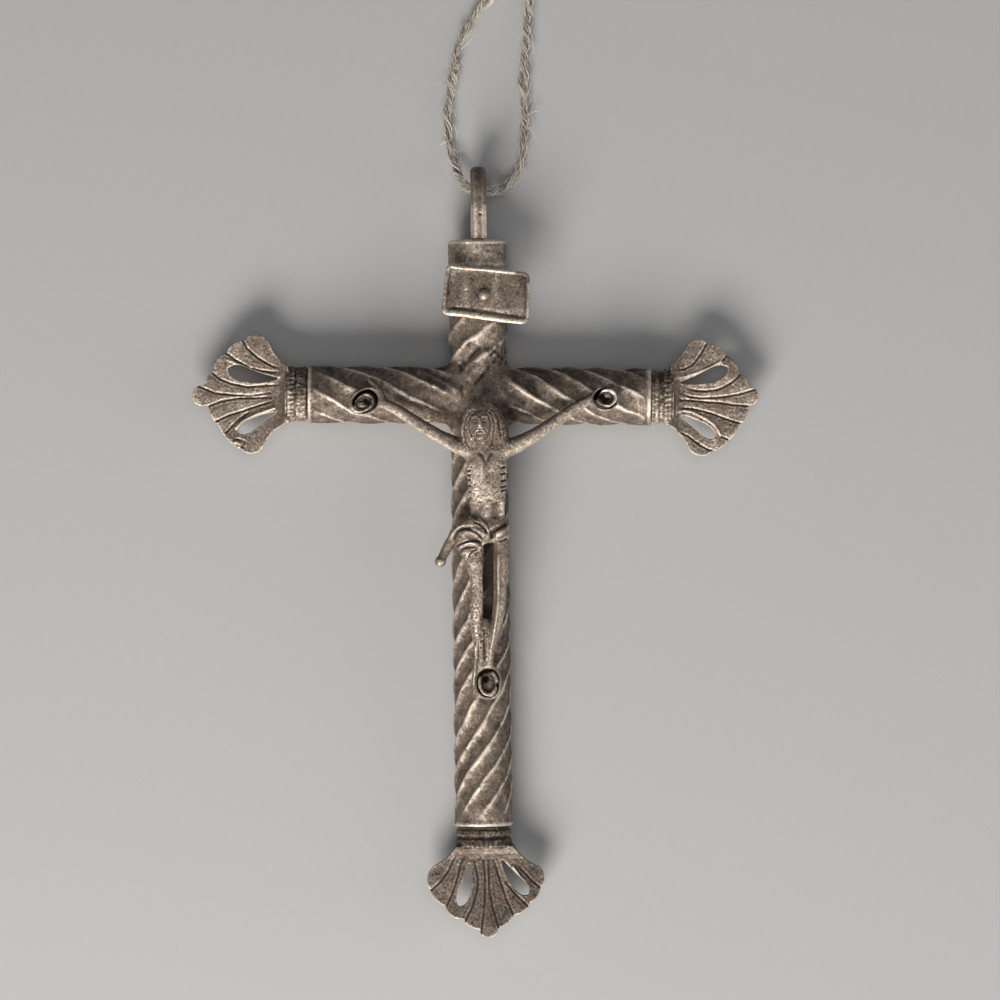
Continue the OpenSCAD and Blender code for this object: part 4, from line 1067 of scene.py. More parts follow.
class PENDANT_OT_title_plate(Operator):
    """Models the bare plate with its raised edge and the pin that holds it"""
    bl_idname = "pendant.title_plate"
    bl_label = "Title plate"

    def execute(self, context):
        def plate_shape(clay):
            clay.melt(9, keep=False)
            clay.push(np.full(clay.count, 0.04))
            marks(clay, PLATE_LINES)
            pits(clay, 160, 34, clay.normals()[:, 2] > 0.5, (0.10, 0.2), (0.03, 0.07))
            clay.push(rough(clay.co, (0.05, 1.3, 31), (0.03, 0.5, 32)))

        def plate_stain(clay):
            y = clay.co[:, 1]
            streaks = lumps(clay.co * (1.0, 0.35, 1.0), 0.9, 33)
            inside = ramp(y, 12.4, 13.2) * ramp(-y, -18.6, -17.8)
            return (0.22 * streaks * inside + 0.35 * spot(clay.co, 0.9, 15.5, 1.0) + 0.08 * inside
                    - 0.10 * (1 - inside))

        dressed("title_plate", "plate", 5, silver("Plate silver", soot=0.01, pits=0.8),
                plate_shape, plate_stain)
        dressed("title_pin", "pin", 3, silver("Pin silver", soot=-0.05))
        return {"FINISHED"}


# Each shell: its mouth, its heading, the lines of its grooves from the rim to the root, and the raised
# rims of its pierced drops
SHELLS = {
    "finial_left": ((-25.595, 0.49), math.radians(88.9), [
        [(-35.65, 9.25), (-35.25, 8.6), (-34.7, 7.55), (-33.05, 6.05), (-31.25, 4.95), (-29.75, 4.35)],
        [(-38.45, 7.3), (-37.85, 6.85), (-36.35, 5.75), (-34.25, 4.55), (-32.5, 4.1), (-29.8, 3.75)],
        [(-40.55, 4.5), (-40, 4), (-38.8, 2.95), (-37, 2.2), (-34.6, 1.7), (-32.5, 1.85), (-29.8, 1.95)],
        [(-42.05, 1.95), (-41.35, 1.65), (-39.55, 0.85), (-37, 0.55), (-34.3, 0.35), (-31.3, 0.75)],
        [(-41.2, -1.35), (-40.5, -1.1), (-38.55, -0.35), (-35.8, 0.05), (-33.55, 0.05), (-31, 0.15)],
        [(-39.7, -3.5), (-39, -3.2), (-37.35, -2.45), (-35.4, -1.9), (-33.15, -1.15), (-30.75, -0.45)],
        [(-37.9, -5.1), (-37.4, -4.55), (-36.3, -3.4), (-35.1, -2.5), (-34.05, -1.9)]], [
        [(-37.55, 5.8), (-35.75, 4.95), (-34.1, 4.15), (-32.05, 3.45), (-29.8, 3.15)],
        [(-36.45, -4.45), (-35.4, -3.4), (-33.6, -2.5), (-30.6, -1.5)]]),
    "finial_right": ((25.795, -0.495), math.radians(-91.1), [
        [(34.55, 7.85), (34.15, 7.2), (33.55, 6.15), (32.95, 5.3), (32.05, 4.25), (30.95, 3.65), (29, 3.35)],
        [(39.65, 3.4), (39.2, 2.8), (38.9, 2.35), (38, 1.6), (36.8, 0.9), (35.6, 0.45), (34.1, 0.3),
         (32.75, 0.35), (31.25, 0.65)],
        [(41.4, 0.45), (40.7, 0.25), (39.2, -0.2), (37.4, -0.5), (35.4, -0.7), (33.15, -0.75), (31.7, -0.55),
         (30.35, -0.1)],
        [(41.1, -2.1), (40.35, -2), (38.4, -1.85), (36.15, -1.5), (34.35, -1.35), (32.4, -1.15), (30.15, -1)],
        [(39.7, -4.75), (39, -4.55), (37.95, -4.25), (36.6, -3.75), (35.1, -3.15), (33.6, -2.7),
         (31.95, -2.35), (30, -2.25)],
        [(35.75, -8.95), (35.05, -8.7), (34.15, -8.4), (33.1, -7.8), (32.2, -7.15), (31.3, -6.4),
         (29.95, -5.8)],
        [(37.6, 6.15), (37.15, 5.55), (36.55, 4.7)], [(38.15, -7.4), (37.45, -7.1), (36.1, -6.45)]], [
        [(36.4, 4.7), (34.9, 3.9), (33.5, 3.3), (32.3, 2.9), (30.95, 2.5), (29.45, 2.15)],
        [(36.1, -6.3), (35.8, -5.65), (35.1, -4.65), (34.05, -3.9), (32.85, -3.25), (31.65, -2.75),
         (30.6, -2.55), (29.55, -2.95)]]),
    "finial_bottom": ((0, -64.5), math.radians(180), [
        [(-8.45, -74.4), (-7.85, -73.9), (-6.5, -72.7), (-5.15, -70.8), (-4.65, -69.6), (-4.2, -68.85)],
        [(-5.95, -77), (-5.65, -76.35), (-4.75, -74.4), (-3.95, -72), (-3.5, -70.05), (-3, -69.15)],
        [(-3.15, -79.15), (-2.8, -78.45), (-1.75, -76.4), (-1.1, -74.15), (-0.95, -72.35), (-1.25, -70.85),
         (-1.5, -69.65)],
        [(-0.55, -80.6), (-0.45, -79.85), (-0.1, -77.15), (0.1, -74.15), (0.1, -71.9), (-0.15, -69.5)],
        [(2.2, -80), (1.95, -79.25), (1.1, -76.4), (0.7, -73.4), (0.7, -70.85), (0.6, -69.5)],
        [(4.5, -78.5), (4.25, -77.8), (3.35, -75.7), (2.35, -72.7), (1.75, -70.7), (1.35, -69.5)],
        [(6.85, -77), (6.35, -76.45), (4.55, -74.65), (3.1, -72.85)],
        [(8.9, -74.3), (8.35, -73.8), (6.85, -72.45), (5.2, -70.6)]], [
        [(4.3, -70.6), (5.5, -72.4), (6.25, -74.2)]])}
# Height of a shell's face over its middle, along its length
SHELL_HEIGHTS = [(2.8, 2.7), (3.4, 2.2), (4.2, 1.3), (5.0, 0.95), (6.2, 0.75), (18.0, 0.6)]
# Height over which the CAD shell's grooves are filled, and where its collar ends
GROOVE_FLOOR, COLLAR_END = 0.25, 3.7
# The broken and mended place of the left shell: its cracks and crumbs, points, width and height
BREAK_LINES = [([(-36.6, -6.0), (-35.9, -6.2), (-35.0, -6.5)], 0.13, -0.28),
               ([(-35.0, -6.5), (-35.4, -7.0), (-35.6, -7.5)], 0.13, -0.30),
               ([(-36.9, -6.7), (-36.2, -6.7), (-35.7, -6.9)], 0.22, 0.22), ([(-37.1, -6.1)], 0.25, 0.22),
               ([(-36.1, -7.3)], 0.25, 0.25), ([(-35.4, -6.0)], 0.22, 0.15)]


def broken(co):
    """1 in the middle of the broken place."""
    return spot(co, -36.1, -6.6, 1.1)


def over_shell(co, mouth, turn):
    """How far ahead of a shell's mouth each point is, and how high the shell's face is there."""
    ahead = (co[:, 1] - mouth[1]) * math.cos(turn) - (co[:, 0] - mouth[0]) * math.sin(turn)
    past, height = zip(*SHELL_HEIGHTS)
    return ahead, np.interp(ahead, past, height)


class PENDANT_OT_finials(Operator):
    """Models the three cast shells with their collars"""
    bl_idname = "pendant.finials"
    bl_label = "Finials"

    def execute(self, context):
        for node, (mouth, turn, grooves, rims) in SHELLS.items():
            obj = node_copy(node)
            obj.name = node.capitalize()
            remesh(obj, GRAIN["shell_filled"])
            # The grooves are filled level, and drawn again finer once the mesh is even
            clay = Clay(obj)
            ahead, face = over_shell(clay.co, mouth, turn)
            level = (clay.co[:, 2] > GROOVE_FLOOR) & (ahead > COLLAR_END)
            clay.co[level, 2] = face[level]
            clay.write()
            remesh(obj, GRAIN["shell"])
            clay = Clay(obj)
            clay.melt(4)
            ahead, face = over_shell(clay.co, mouth, turn)
            flat = clay.co[:, :2]
            groove, beside = np.zeros(clay.count), np.full(clay.count, 9.0)
            for line in grooves:
                far, along = to_line(flat, line)
                groove = np.maximum(groove, bell(far, 0.115) * ramp(1 - along, -0.001, 0.15))
                beside = np.minimum(beside, far)
            rim = near_lines(flat, rims, 0.19)
            n = clay.normals()
            front = ramp(n[:, 2], 0.35, 0.75) * (clay.co[:, 2] > 0.1) * ramp(ahead, COLLAR_END, 4.6)
            face = face + 0.12 * ramp(beside, 0.1, 1.0) - 0.21 * groove + 0.20 * rim
            face += 0.05 * bell(beside - 0.30, 0.12) + rough(clay.co, (0.05, 1.4, 43), (0.03, 0.45, 44))
            clay.co[:, 2] += front * (face - clay.co[:, 2])
            clay.melt(2)
            pits(clay, 420, 49, front > 0.8, (0.10, 0.17), (0.02, 0.07))
            if node == "finial_left":
                marks(clay, BREAK_LINES)
                clay.push(broken(clay.co) * 0.20 * lumps(clay.co, 0.5, 45))
                clay.push(0.35 * bell(np.linalg.norm(clay.co - (-28.7, -2.9, 2.3), axis=1), 0.7)
                          * (1 + 0.5 * lumps(clay.co, 0.4, 46)))
            clay.push(ramp(3.6 - ahead, 0, 0.8) * (ahead > 0) * 0.06 * lumps(clay.co, 0.4, 47))
            clay.write()
            thin_out(obj, MOST["shell"])
            clay = Clay(obj)
            n = clay.normals()
            ahead, _ = over_shell(clay.co, mouth, turn)
            flat = clay.co[:, :2]
            groove, rim = near_lines(flat, grooves, 0.12), near_lines(flat, rims, 0.22)
            clay.store("relief", 0.9 * clay.relief())
            collar = ramp(COLLAR_END - ahead, 0, 0.8) * (ahead > 0)
            tip = bell(ahead - 16.6, 1.3)
            # Edges turned down the pendant, painted as highlights below
            lit_edge = (n[:, 2] < 0.75) * np.clip(-n[:, 1], 0, 1) * ramp(ahead, 4.5, 7)
            for _ in range(4):
                lit_edge = 0.5 * lit_edge + 0.5 * clay.mean(lit_edge)
            # Painted shade on faces turned up the pendant and painted light on faces turned down it, painted
            # highlights on the drop rims and lower edges; the grooves, collar and broken place are darker, the
            # tips lighter
            clay.store("stain_and_painted_light", 0.16 * groove * (n[:, 2] > 0)
                       + collar * (0.16 + 0.42 * lumps(clay.co, 0.32, 48))
                       + 0.18 * ramp(n[:, 1], 0.25, 0.8) - 0.34 * ramp(-n[:, 1], 0.2, 0.7) - 0.14 * tip
                       - 0.30 * rim * (n[:, 2] > 0.2) + 0.07 * lumps(clay.co, 2.2, 50)
                       - 0.55 * lit_edge * (0.7 + 0.6 * lumps(clay.co, 1.2, 51))
                       + 0.55 * broken(clay.co) * lumps(clay.co, 0.45, 45))
            soot = 0.25 if node == "finial_bottom" else 0.0
            obj.data.materials.append(silver(node.replace("_", " ").title() + " silver", soot=soot, wear=0.8,
                                             pits=0.7, bump=1.0))
            seat(obj, node)
        return {"FINISHED"}


# Lines of the figure: points, width and height
RIB_NOTCHES = ([[(-2.15, y), (-1.3, y + 0.12)] for y in (-11.35, -12.0, -12.7, -13.6, -14.5, -15.4)]
               + [[(3.1, y), (4.0, y + 0.25)] for y in (-11.0, -11.9, -12.95, -13.85, -14.4)])
TORSO_LINES = [
    ([(-0.35, -8.3), (0.4, -9.05), (0.95, -10.1), (1.6, -9.05), (2.05, -8.3)], 0.30, -0.20),
    ([(0.95, -10.1), (1.1, -12.35)], 0.40, -0.12),
    ([(-1.45, -9.95), (-0.4, -11.0), (0.65, -11.0)], 0.90, 0.12),
    ([(1.4, -10.9), (2.45, -10.9), (3.2, -10.0)], 0.80, 0.10),
    ([(-1.35, -15.2), (-0.45, -14.0), (1.05, -13.55), (2.4, -14.0), (3.3, -15.4)], 0.55, 0.04),
    ([(0.25, -15.6), (-0.3, -17.15), (-0.95, -18.5)], 0.60, -0.20),
    ([(2.25, -15.8), (2.6, -17.35), (2.2, -18.65)], 0.55, -0.22),
    ([(1.2, -15.65), (1.15, -18.35)], 0.60, 0.14), ([(-1.5, -15.65), (-1.55, -17.9)], 0.40, 0.12),
    ([(3.45, -15.7), (3.4, -18.1)], 0.35, 0.14), ([(1.15, -16.9)], 0.22, -0.08)]
# Painted light and shade of the torso's forms: place, width, height and tone
TORSO_LIGHT_AND_SHADE = [(-0.6, -13.9, 1.0, 2.4, -0.20), (-1.15, -17.0, 0.6, 1.1, 0.22), (1.85, -17.8, 0.6, 1.0, 0.24),
               (3.4, -16.6, 0.35, 1.6, -0.20), (2.2, -12.0, 1.2, 1.8, 0.08), (0.5, -16.2, 0.7, 0.6, -0.08)]
# The face has its own plain proportions, and its lines count from its middle before it is sized
FACE_MIDDLE = (0.1, -4.7)
FACE_SIZE = 1.34


def both(points, width, height):
    """A line on one side of the face and its twin on the other."""
    return [(points, width, height), ([(-x, y) for x, y in points], width, height)]


FACE_LINES = [
    *both([(-0.95, 0.98), (-0.52, 1.12), (-0.14, 0.98)], 0.17, 0.09), *both([(-0.52, 0.66)], 0.30, -0.15),
    *both([(-0.78, 0.62), (-0.52, 0.66), (-0.28, 0.62)], 0.14, 0.09),
    *both([(-0.78, 0.50), (-0.52, 0.44), (-0.28, 0.50)], 0.08, -0.06),
    ([(0.0, 1.0), (0.0, 0.1), (0.0, -0.02)], 0.17, 0.20), ([(0.0, -0.05)], 0.20, 0.14),
    *both([(-0.2, -0.12)], 0.13, 0.07), ([(0.0, -0.34)], 0.14, -0.08), *both([(-0.74, 0.02)], 0.38, 0.08),
    *both([(-0.08, -0.36), (-0.45, -0.56), (-0.62, -0.95)], 0.14, 0.09),
    ([(-0.36, -0.62), (0.0, -0.58), (0.36, -0.62)], 0.09, -0.12),
    ([(-0.26, -0.76), (0.26, -0.76)], 0.12, 0.09), ([(0.0, -1.0)], 0.2, -0.05), ([(0.0, -1.35)], 0.4, 0.14)]
BEARD_LINES = [([(x, -0.75 - 0.15 * abs(x)), (0.75 * x, -1.45), (0.45 * x, -2.1 + 0.3 * abs(x))], 0.08, -0.09)
               for x in (-1.05, -0.75, -0.45, -0.15, 0.15, 0.45, 0.75, 1.05)]
HAIR_LINES = [
    ([(-0.3, -1.7), (-1.65, -2.3), (-2.4, -3.6), (-2.6, -5.4), (-2.3, -6.9), (-1.55, -8.15)], 0.16, 0.10),
    ([(0.0, -2.0), (-1.45, -2.65), (-2.1, -3.9), (-2.3, -5.55), (-2.0, -7.05), (-1.2, -8.3)], 0.11, -0.12),
    ([(0.1, -2.3), (-1.2, -2.95), (-1.8, -4.2), (-1.95, -5.6), (-1.65, -6.9)], 0.09, -0.09),
    ([(0.6, -2.0), (1.8, -2.75), (2.25, -3.9), (2.35, -5.35), (2.1, -6.8), (1.6, -8.0)], 0.13, -0.13),
    ([(0.9, -1.7), (2.4, -2.45), (2.9, -3.85), (3.15, -5.5), (3.15, -7.15)], 0.12, -0.13),
    ([(1.1, -1.45), (2.7, -2.2), (3.45, -3.9), (3.7, -5.6), (3.75, -7.1)], 0.09, -0.08),
    ([(1.4, -1.35), (3.0, -2.4), (3.95, -4.15), (4.3, -5.8), (4.5, -7.15)], 0.12, -0.12),
    ([(2.2, -3.2), (2.6, -4.6), (2.7, -6.2)], 0.30, 0.08),
    ([(3.1, -3.4), (3.7, -5.0), (4.0, -6.4)], 0.30, 0.08)]
CLOTH_LINES = [
    ([(-0.65, -18.35), (-0.05, -18.5), (0.85, -19.4), (1.3, -20.75)], 0.16, 0.14),
    ([(-1.1, -18.8), (-0.05, -19.25), (0.7, -20.0), (1.15, -20.75)], 0.18, -0.26),
    ([(-4.7, -21.75), (-3.95, -20.4), (-3.2, -19.65), (-2.3, -19.35), (-1.25, -19.45), (-0.2, -20.15),
      (0.7, -20.85), (1.45, -21.35)], 0.28, 0.18),
    ([(-4.1, -21.75), (-3.8, -21.15), (-3.35, -20.25), (-2.6, -19.85), (-1.55, -20.0), (-0.65, -20.45),
      (0.1, -21.2), (0.55, -21.95)], 0.17, -0.26),
    ([(-2.9, -21.15), (-2.3, -20.4), (-1.25, -20.6), (-0.35, -21.35)], 0.55, 0.14),
    ([(-3.85, -22.95), (-3.25, -22.35), (-2.45, -22.0), (-1.55, -21.7), (-0.65, -21.65),
      (0.4, -22.1)], 0.17, -0.26),
    ([(-3.55, -23.25), (-3.25, -22.6), (-2.65, -22.2), (-1.55, -22.0), (-0.4, -22.25)], 0.20, 0.16),
    ([(0.05, -22.7)], 0.30, 0.12),
    ([(-3.25, -23.7), (-2.8, -23.0), (-2.2, -22.7), (-1.3, -22.7), (-0.25, -22.85)], 0.14, -0.20),
    ([(-2.5, -23.5)], 0.55, 0.14),
    ([(-1.9, -24.3), (-1.6, -23.75), (-1.15, -23.2), (-0.25, -23.0)], 0.12, -0.15),
    ([(-0.85, -24.05), (-0.55, -23.45), (-0.1, -23.3)], 0.12, -0.11),
    ([(-4.55, -21.9), (-5.2, -23.1), (-5.95, -24.3)], 0.55, 0.08),
    ([(2.2, -20.75), (2.95, -20.5), (3.85, -20.2)], 0.60, 0.14),
    ([(1.6, -21.65), (1.75, -20.45), (2.5, -19.95), (3.25, -19.6), (4.3, -19.0)], 0.26, -0.34),
    ([(2.2, -21.2), (2.65, -21.6), (3.25, -21.4), (4.0, -20.95)], 0.14, 0.13),
    ([(2.65, -21.9), (3.4, -21.75), (4.15, -21.4)], 0.16, -0.16),
    ([(2.75, -22.9), (2.8, -24.4), (2.75, -26.2), (2.55, -29.2)], 0.25, 0.08)]
LEG_LINES = [
    ([(2.6, -22.6), (2.6, -30.7), (2.05, -34.55), (1.25, -39.05)], 0.17, 0.16),
    ([(2.15, -22.85), (2.15, -30.35), (1.5, -34.55)], 0.14, -0.14),
    ([(3.5, -22.9), (3.6, -29.2), (2.95, -34.45), (2.15, -38.9)], 0.50, 0.06),
    ([(0.45, -34.7), (0.35, -37.4), (0.4, -39.95)], 0.14, -0.14),
    ([(1.05, -34.7), (0.85, -37.4), (0.75, -39.95)], 0.14, 0.10),
    ([(-0.85, -36.65), (-0.95, -40.4), (-1.3, -43.7)], 0.16, 0.20),
    ([(-0.45, -36.65), (-0.55, -39.95)], 0.14, -0.13),
    ([(0.2, -24.65), (0.15, -30.65), (0.4, -34.4)], 0.20, 0.10),
    ([(-1.65, -26.9), (-1.4, -33.65), (-0.7, -38.9)], 0.20, -0.07)]


class PENDANT_OT_figure(Operator):
    """Models the cast figure: smoothed forms with the face, hair, ribs and folds worked in"""
    bl_idname = "pendant.figure"
    bl_label = "Figure"

    def execute(self, context):
        def shape(clay):
            clay.melt(14, keep=False)
            x, y, z = clay.co.T
            loin = ramp(-y, 17.6, 18.6) * ramp(y, -26.5, -25.0)
            body = ramp(-y, 6.6, 8.6) * (1 - loin)
            body = np.maximum(body, ramp(np.abs(x - 1.0), 3.2, 4.4) * ramp(y, -17, -15))
            clay.melt(30, body, keep=False)
            folds = loin * ramp(1.6 - x, 0, 0.8) * ramp(x, -4.8, -4.0)
            clay.melt(48, folds, keep=False)
            crown = ramp(y, -9.2, -7.2) * ramp(4.9 - np.abs(x - 0.8), 0, 0.8) * ramp(z, 5.2, 6.0)
            clay.melt(22, crown, keep=False)
            for px, py in ((-1.9, -9.0), (4.1, -9.2), (0.9, -15.4)):
                clay.melt(26, spot(clay.co, px, py, 1.7), keep=False)
            clay.push(0.035 + 0.07 * folds)
            fx, fy = FACE_MIDDLE
            oval = np.hypot((clay.co[:, 0] - fx) / 1.62, (clay.co[:, 1] - fy - 0.05) / 2.15)
            n = clay.normals()
            on_head = ramp(n[:, 2], 0.0, 0.4) * ramp(clay.co[:, 1], -8.6, -7.8) * (clay.co[:, 2] > 6)
            clay.push((-0.13 * bell(oval - 1.05, 0.10) + 0.06 * (1 - ramp(oval, 0.8, 1.0))) * on_head, n)
            sized = [([(px * FACE_SIZE + fx, py * FACE_SIZE + fy) for px, py in pts], w * 1.25, h * 1.15)
                     for pts, w, h in FACE_LINES + BEARD_LINES]
            notches = [(line, 0.13, -0.30) for line in RIB_NOTCHES]
            for lines in (sized, HAIR_LINES, notches, TORSO_LINES, CLOTH_LINES, LEG_LINES):
                marks(clay, lines)
            clay.push(0.22 * spot(clay.co, -5.9, -24.95, 0.9))
            x, y, _ = clay.co.T
            hair = crown * (1 - spot(clay.co, fx, fy, 0.95, 1.5, 2.0))
            clay.push(hair * rough(clay.co, (0.05, 0.42, 57), (0.03, 0.25, 58)))
            up = clay.normals()[:, 2] > 0.2
            leg = up & (x < 0.9) & (x > -3.2) & (y < -23) & (y > -39)
            belly = up & (np.abs(x - 1.1) < 2.6) & (y < -10.5) & (y > -16.5)
            on_hair = up & (y > -8.5) & (hair > 0.3)
            for count, seed, inside, size, deep in (
                    (240, 51, leg, (0.09, 0.2), (0.03, 0.10)), (200, 52, belly, (0.07, 0.15), (0.02, 0.07)),
                    (240, 53, on_hair, (0.08, 0.15), (0.02, 0.07)), (160, 54, up, (0.07, 0.2), (0.02, 0.06))):
                pits(clay, count, seed, inside, size, deep)
            clay.push(rough(clay.co, (0.035, 0.9, 55), (0.022, 0.35, 56)))
            make_oval(clay)

        def stain_and_painted_light(clay):
            x, y, z = clay.co.T
            fx, fy = FACE_MIDDLE
            flat = clay.co[:, :2]
            # Painted shade along the gap between the legs
            total = 0.30 * bell(x - 1.3, 0.5) * ramp(-y, 21, 22.5) * ramp(y, -36, -32)
            total += 0.12 * ramp(y, -9.0, -7.4) * ramp(5.0 - np.abs(x - 0.8), 0, 1.0)
            total += 0.22 * ramp(y, -8.4, -7.2) * spot(clay.co, 3.3, -5.6, 1.2, high=2.0)
            total -= 0.08 * spot(clay.co, fx, fy, 0.9, 1.6, 2.1)
            total += 0.16 * spot(clay.co, fx, fy - 1.5, 0.9, high=1.25)
            # Painted shade on the loincloth's lower parts
            total += 0.12 * ramp(-y, 17.8, 18.8) * ramp(y, -25.5, -24) * ramp(8.6 - z, 0, 1.5)
            for lines, share in ((CLOTH_LINES, 1.1), (TORSO_LINES, 0.7), (LEG_LINES, 1.2)):
                for points, width, rise in lines:
                    if rise < 0 and len(points) > 1:
                        total += -rise * share * stroke(flat, points, width)
            for line in RIB_NOTCHES:
                total += 0.45 * stroke(flat, line, 0.15)
            total += 0.22 * spot(clay.co, 1.0, -9.0, 1.0)
            n = clay.normals()
            # Painted shade on the arms' upper side and painted light on their lower side
            arms = ramp(np.abs(x - 0.9), 3.4, 4.8) * ramp(y, -9.5, -8.5)
            total += arms * (0.30 * ramp(n[:, 1], 0.1, 0.8) - 0.30 * ramp(-n[:, 1], 0.25, 0.75))
            total += 0.03 * lumps(clay.co, 0.8, 59)
            # Painted light and shade on the torso
            for px, py, wide, high, tone in TORSO_LIGHT_AND_SHADE:
                total += tone * spot(clay.co, px, py, 1.0, wide, high)
            # Painted shade down the figure's sides, towards the tube
            return total + 0.35 * ramp(6.4 - z, 0, 1.6)

        dressed("figure", "figure", 0,
                silver("Figure silver", soot=-0.08, pits=0.9, mottle=0.85, bump=0.8), shape, stain_and_painted_light)
        return {"FINISHED"}


# Each nail: how far its top is sunk, how its top slopes across and up (the rim is also painted darker, as
# shade, on the side it slopes down to), how dull its rim is, how its top is drawn (its heading, how much
# narrower across it, shorter at its tip, pointed there and longer behind), how far its rim has slipped, its
# pockets, sunk and painted dark as shade (x, y, radius and depth), the tone of the rolled end that shows, and
# the rolled ends inside it (x, y, depth under the top, size and turn)
NAILS = {
    "nail_left": dict(
        sink=0.22, slope=(0.12, 0.12), tone=0.26, drawn=(0.5, 0.09, 0.22, 0.0, 0.20), slip=(-0.10, -0.06),
        pockets=[(-16.71, -0.83, 0.36, 0.9), (-16.3, -0.42, 0.20, 0.5)], end_tone=-0.75,
        ends=[(-17.28, -1.18, 0.0, (0.80, 0.38, 0.44), -0.46), (*LEFT_NAIL, 2.0, (1.1, 1.1, 0.5), 0.0)]),
    "nail_right": dict(
        sink=0.0, slope=(-0.10, -0.02), tone=-0.30, drawn=(3.55, 0.0, 0.24, 0.38, 0.06), slip=(0.10, 0.13),
        pockets=[(18.2, -0.42, 0.34, 0.9), (18.75, -1.2, 0.22, 0.5)], end_tone=-0.05,
        ends=[(19.22, -0.12, 0.12, (0.66, 0.60, 0.20), 0.0), (*RIGHT_NAIL, 2.0, (1.1, 1.1, 0.5), 0.0)]),
    "nail_feet": dict(
        sink=0.06, slope=(0.10, 0.34), tone=-0.04, drawn=(2.2, 0.0, 0.0, 0.0, 0.10), slip=(-0.13, -0.10),
        pockets=[(-0.15, -41.45, 0.46, 1.8), (0.5, -41.05, 0.46, 1.8), (1.15, -41.0, 0.34, 1.3),
                 (0.42, -42.3, 0.40, 1.2), (2.25, -43.0, 0.18, 0.2)], end_tone=-0.05,
        ends=[(1.15, -43.5, 0.60, (1.0, 1.2, 0.50), 0.2), (1.15, -41.95, 0.25, (1.1, 0.26, 0.45), -0.65),
              (*FEET_NAIL, 2.4, (1.1, 1.6, 0.5), 0.0)])}


def ball(size, centre, turn):
    deselect()
    bpy.ops.mesh.primitive_uv_sphere_add(segments=32, ring_count=20, radius=1, location=centre,
                                         rotation=(0, 0, turn))
    obj = bpy.context.object
    obj.scale = size
    fix_place(obj)
    return obj


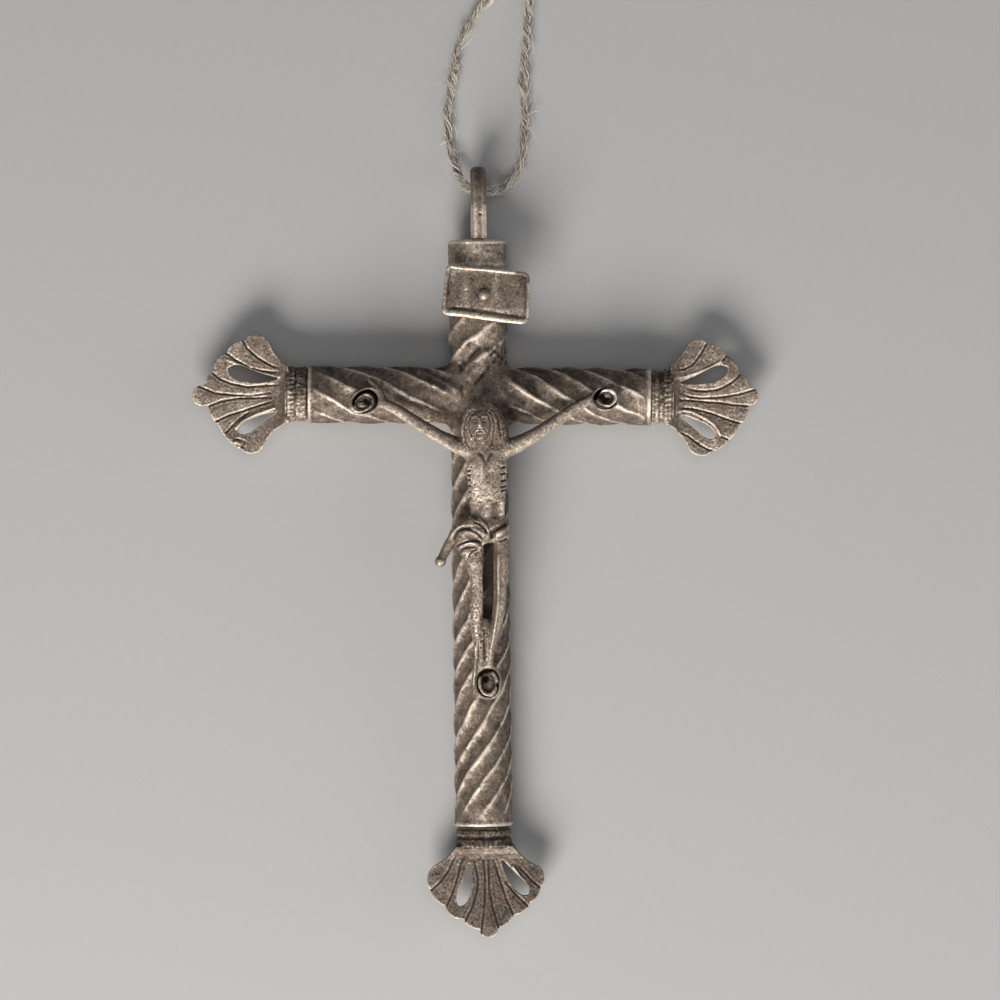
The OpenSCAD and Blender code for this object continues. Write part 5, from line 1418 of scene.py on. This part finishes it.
class PENDANT_OT_nails(Operator):
    """Models the three nails, each rolled from a strip of sheet"""
    bl_idname = "pendant.nails"
    bl_label = "Nails"

    def execute(self, context):
        for node, nail in NAILS.items():
            base = node_copy(node)
            top = Clay(base).co[:, 2].max()
            base = joined([base, *[ball(size, (x, y, top - down), turn)
                                   for x, y, down, size, turn in nail["ends"]]])

            def over_top(clay):
                """How far out each point is, 1 at the rim, and which way; and the top's height."""
                low, high = clay.co.min(0), clay.co.max(0)
                away = ((clay.co - (low + high) / 2) / (high - low) * 2)[:, :2]
                return np.hypot(*away.T), away, high[2]

            def in_pockets(clay, deep):
                """The pockets, sunk and painted dark as shade, each as deep as it is or all alike."""
                return np.max([(depth if deep else 1.0) * spot(clay.co, x, y, size)
                               for x, y, size, depth in nail["pockets"]], axis=0)

            def draw_out(clay):
                """Draws the round top out of round and lets its rim slip."""
                turn, across, tip, point, behind = nail["drawn"]
                low, high = clay.co.min(0), clay.co.max(0)
                heading = np.array([math.cos(turn), math.sin(turn)])
                side = np.array([-heading[1], heading[0]])
                away = clay.co[:, :2] - ((low + high) / 2)[:2]
                ahead, beside = away @ heading, away @ side
                deep = ramp(clay.co[:, 2], high[2] - 2.8, high[2] - 2.0)
                shallow = ramp(clay.co[:, 2], high[2] - 1.1, high[2] - 0.7)
                toward = np.clip(ahead / 1.5, 0, 1)
                clay.co[:, :2] -= (deep * tip * toward * ahead)[:, None] * heading
                clay.co[:, :2] += (shallow * behind * np.minimum(ahead, 0))[:, None] * heading
                clay.co[:, :2] -= (deep * (across + point * toward) * beside)[:, None] * side
                clay.co[:, :2] += shallow[:, None] * nail["slip"]

            def shape(clay):
                out, away, high = over_top(clay)
                hollow = ramp(0.76 - out, 0, 0.14)
                clay.co[:, 2] -= 0.6 * hollow * ramp(clay.co[:, 2], high - 1.0, high - 0.1)
                lower = nail["sink"] + away @ nail["slope"]
                clay.co[:, 2] -= lower * ramp(clay.co[:, 2], high - 2.5, high - 0.5)
                clay.push(0.07 * ramp(out, 0.84, 0.92) + rough(clay.co, (0.045, 0.6, 61), (0.025, 0.3, 62)))
                draw_out(clay)
                clay.co[:, 2] -= in_pockets(clay, True) * ramp(clay.co[:, 2], high - 2.2, high - 0.8)
                make_oval(clay)

            def stain_and_painted_light(clay):
                out, away, high = over_top(clay)
                rim = ramp(out, 0.78, 0.9) * ramp(clay.co[:, 2], high - 0.7, high - 0.2)
                x, y, _, size, turn = nail["ends"][0]
                flat = clay.co[:, :2] - (x, y)
                along = flat @ (math.cos(turn), math.sin(turn)) / size[0]
                beside = flat @ (-math.sin(turn), math.cos(turn)) / size[1]
                lens = bell(np.hypot(along, beside), 1.0)
                # Painted shade inside the rolled top, in the pockets, down the sunk parts and on the rim's
                # lower side
                inside = 0.45 * ramp(0.80 - out, 0, 0.15) * (1 - 0.8 * lens) + 1.1 * in_pockets(clay, False)
                sunk = 0.5 * ramp(high - clay.co[:, 2], 0.9, 1.5)
                return (inside + sunk + nail["end_tone"] * lens
                        + rim * (nail["tone"] + 1.5 * (away @ nail["slope"])))

            dressed(node, "nail", 3, silver(node.replace("_", " ").title() + " silver"),
                    shape, stain_and_painted_light, base)
        return {"FINISHED"}


OPERATORS = (PENDANT_OT_stage, PENDANT_OT_twine, PENDANT_OT_cross_tube, PENDANT_OT_cap_and_loop,
             PENDANT_OT_title_plate, PENDANT_OT_finials, PENDANT_OT_figure, PENDANT_OT_nails)


class PENDANT_PT_sidebar(Panel):
    bl_label = "Crucifix pendant"
    bl_space_type = "VIEW_3D"
    bl_region_type = "UI"
    bl_category = "Pendant"

    def draw(self, context):
        layout = self.layout
        for name in PendantSettings.__annotations__:
            layout.prop(context.scene.pendant, name)
        for operator in OPERATORS:
            layout.operator(operator.bl_idname)


def register():
    for item in (PendantSettings, *OPERATORS, PENDANT_PT_sidebar):
        bpy.utils.register_class(item)
    bpy.types.Scene.pendant = PointerProperty(type=PendantSettings)


def unregister():
    del bpy.types.Scene.pendant
    for item in (PENDANT_PT_sidebar, *reversed(OPERATORS), PendantSettings):
        bpy.utils.unregister_class(item)


def main():
    register()
    for operator in OPERATORS:
        group, name = operator.bl_idname.split(".")
        getattr(getattr(bpy.ops, group), name)()


if __name__ == "__main__":
    main()
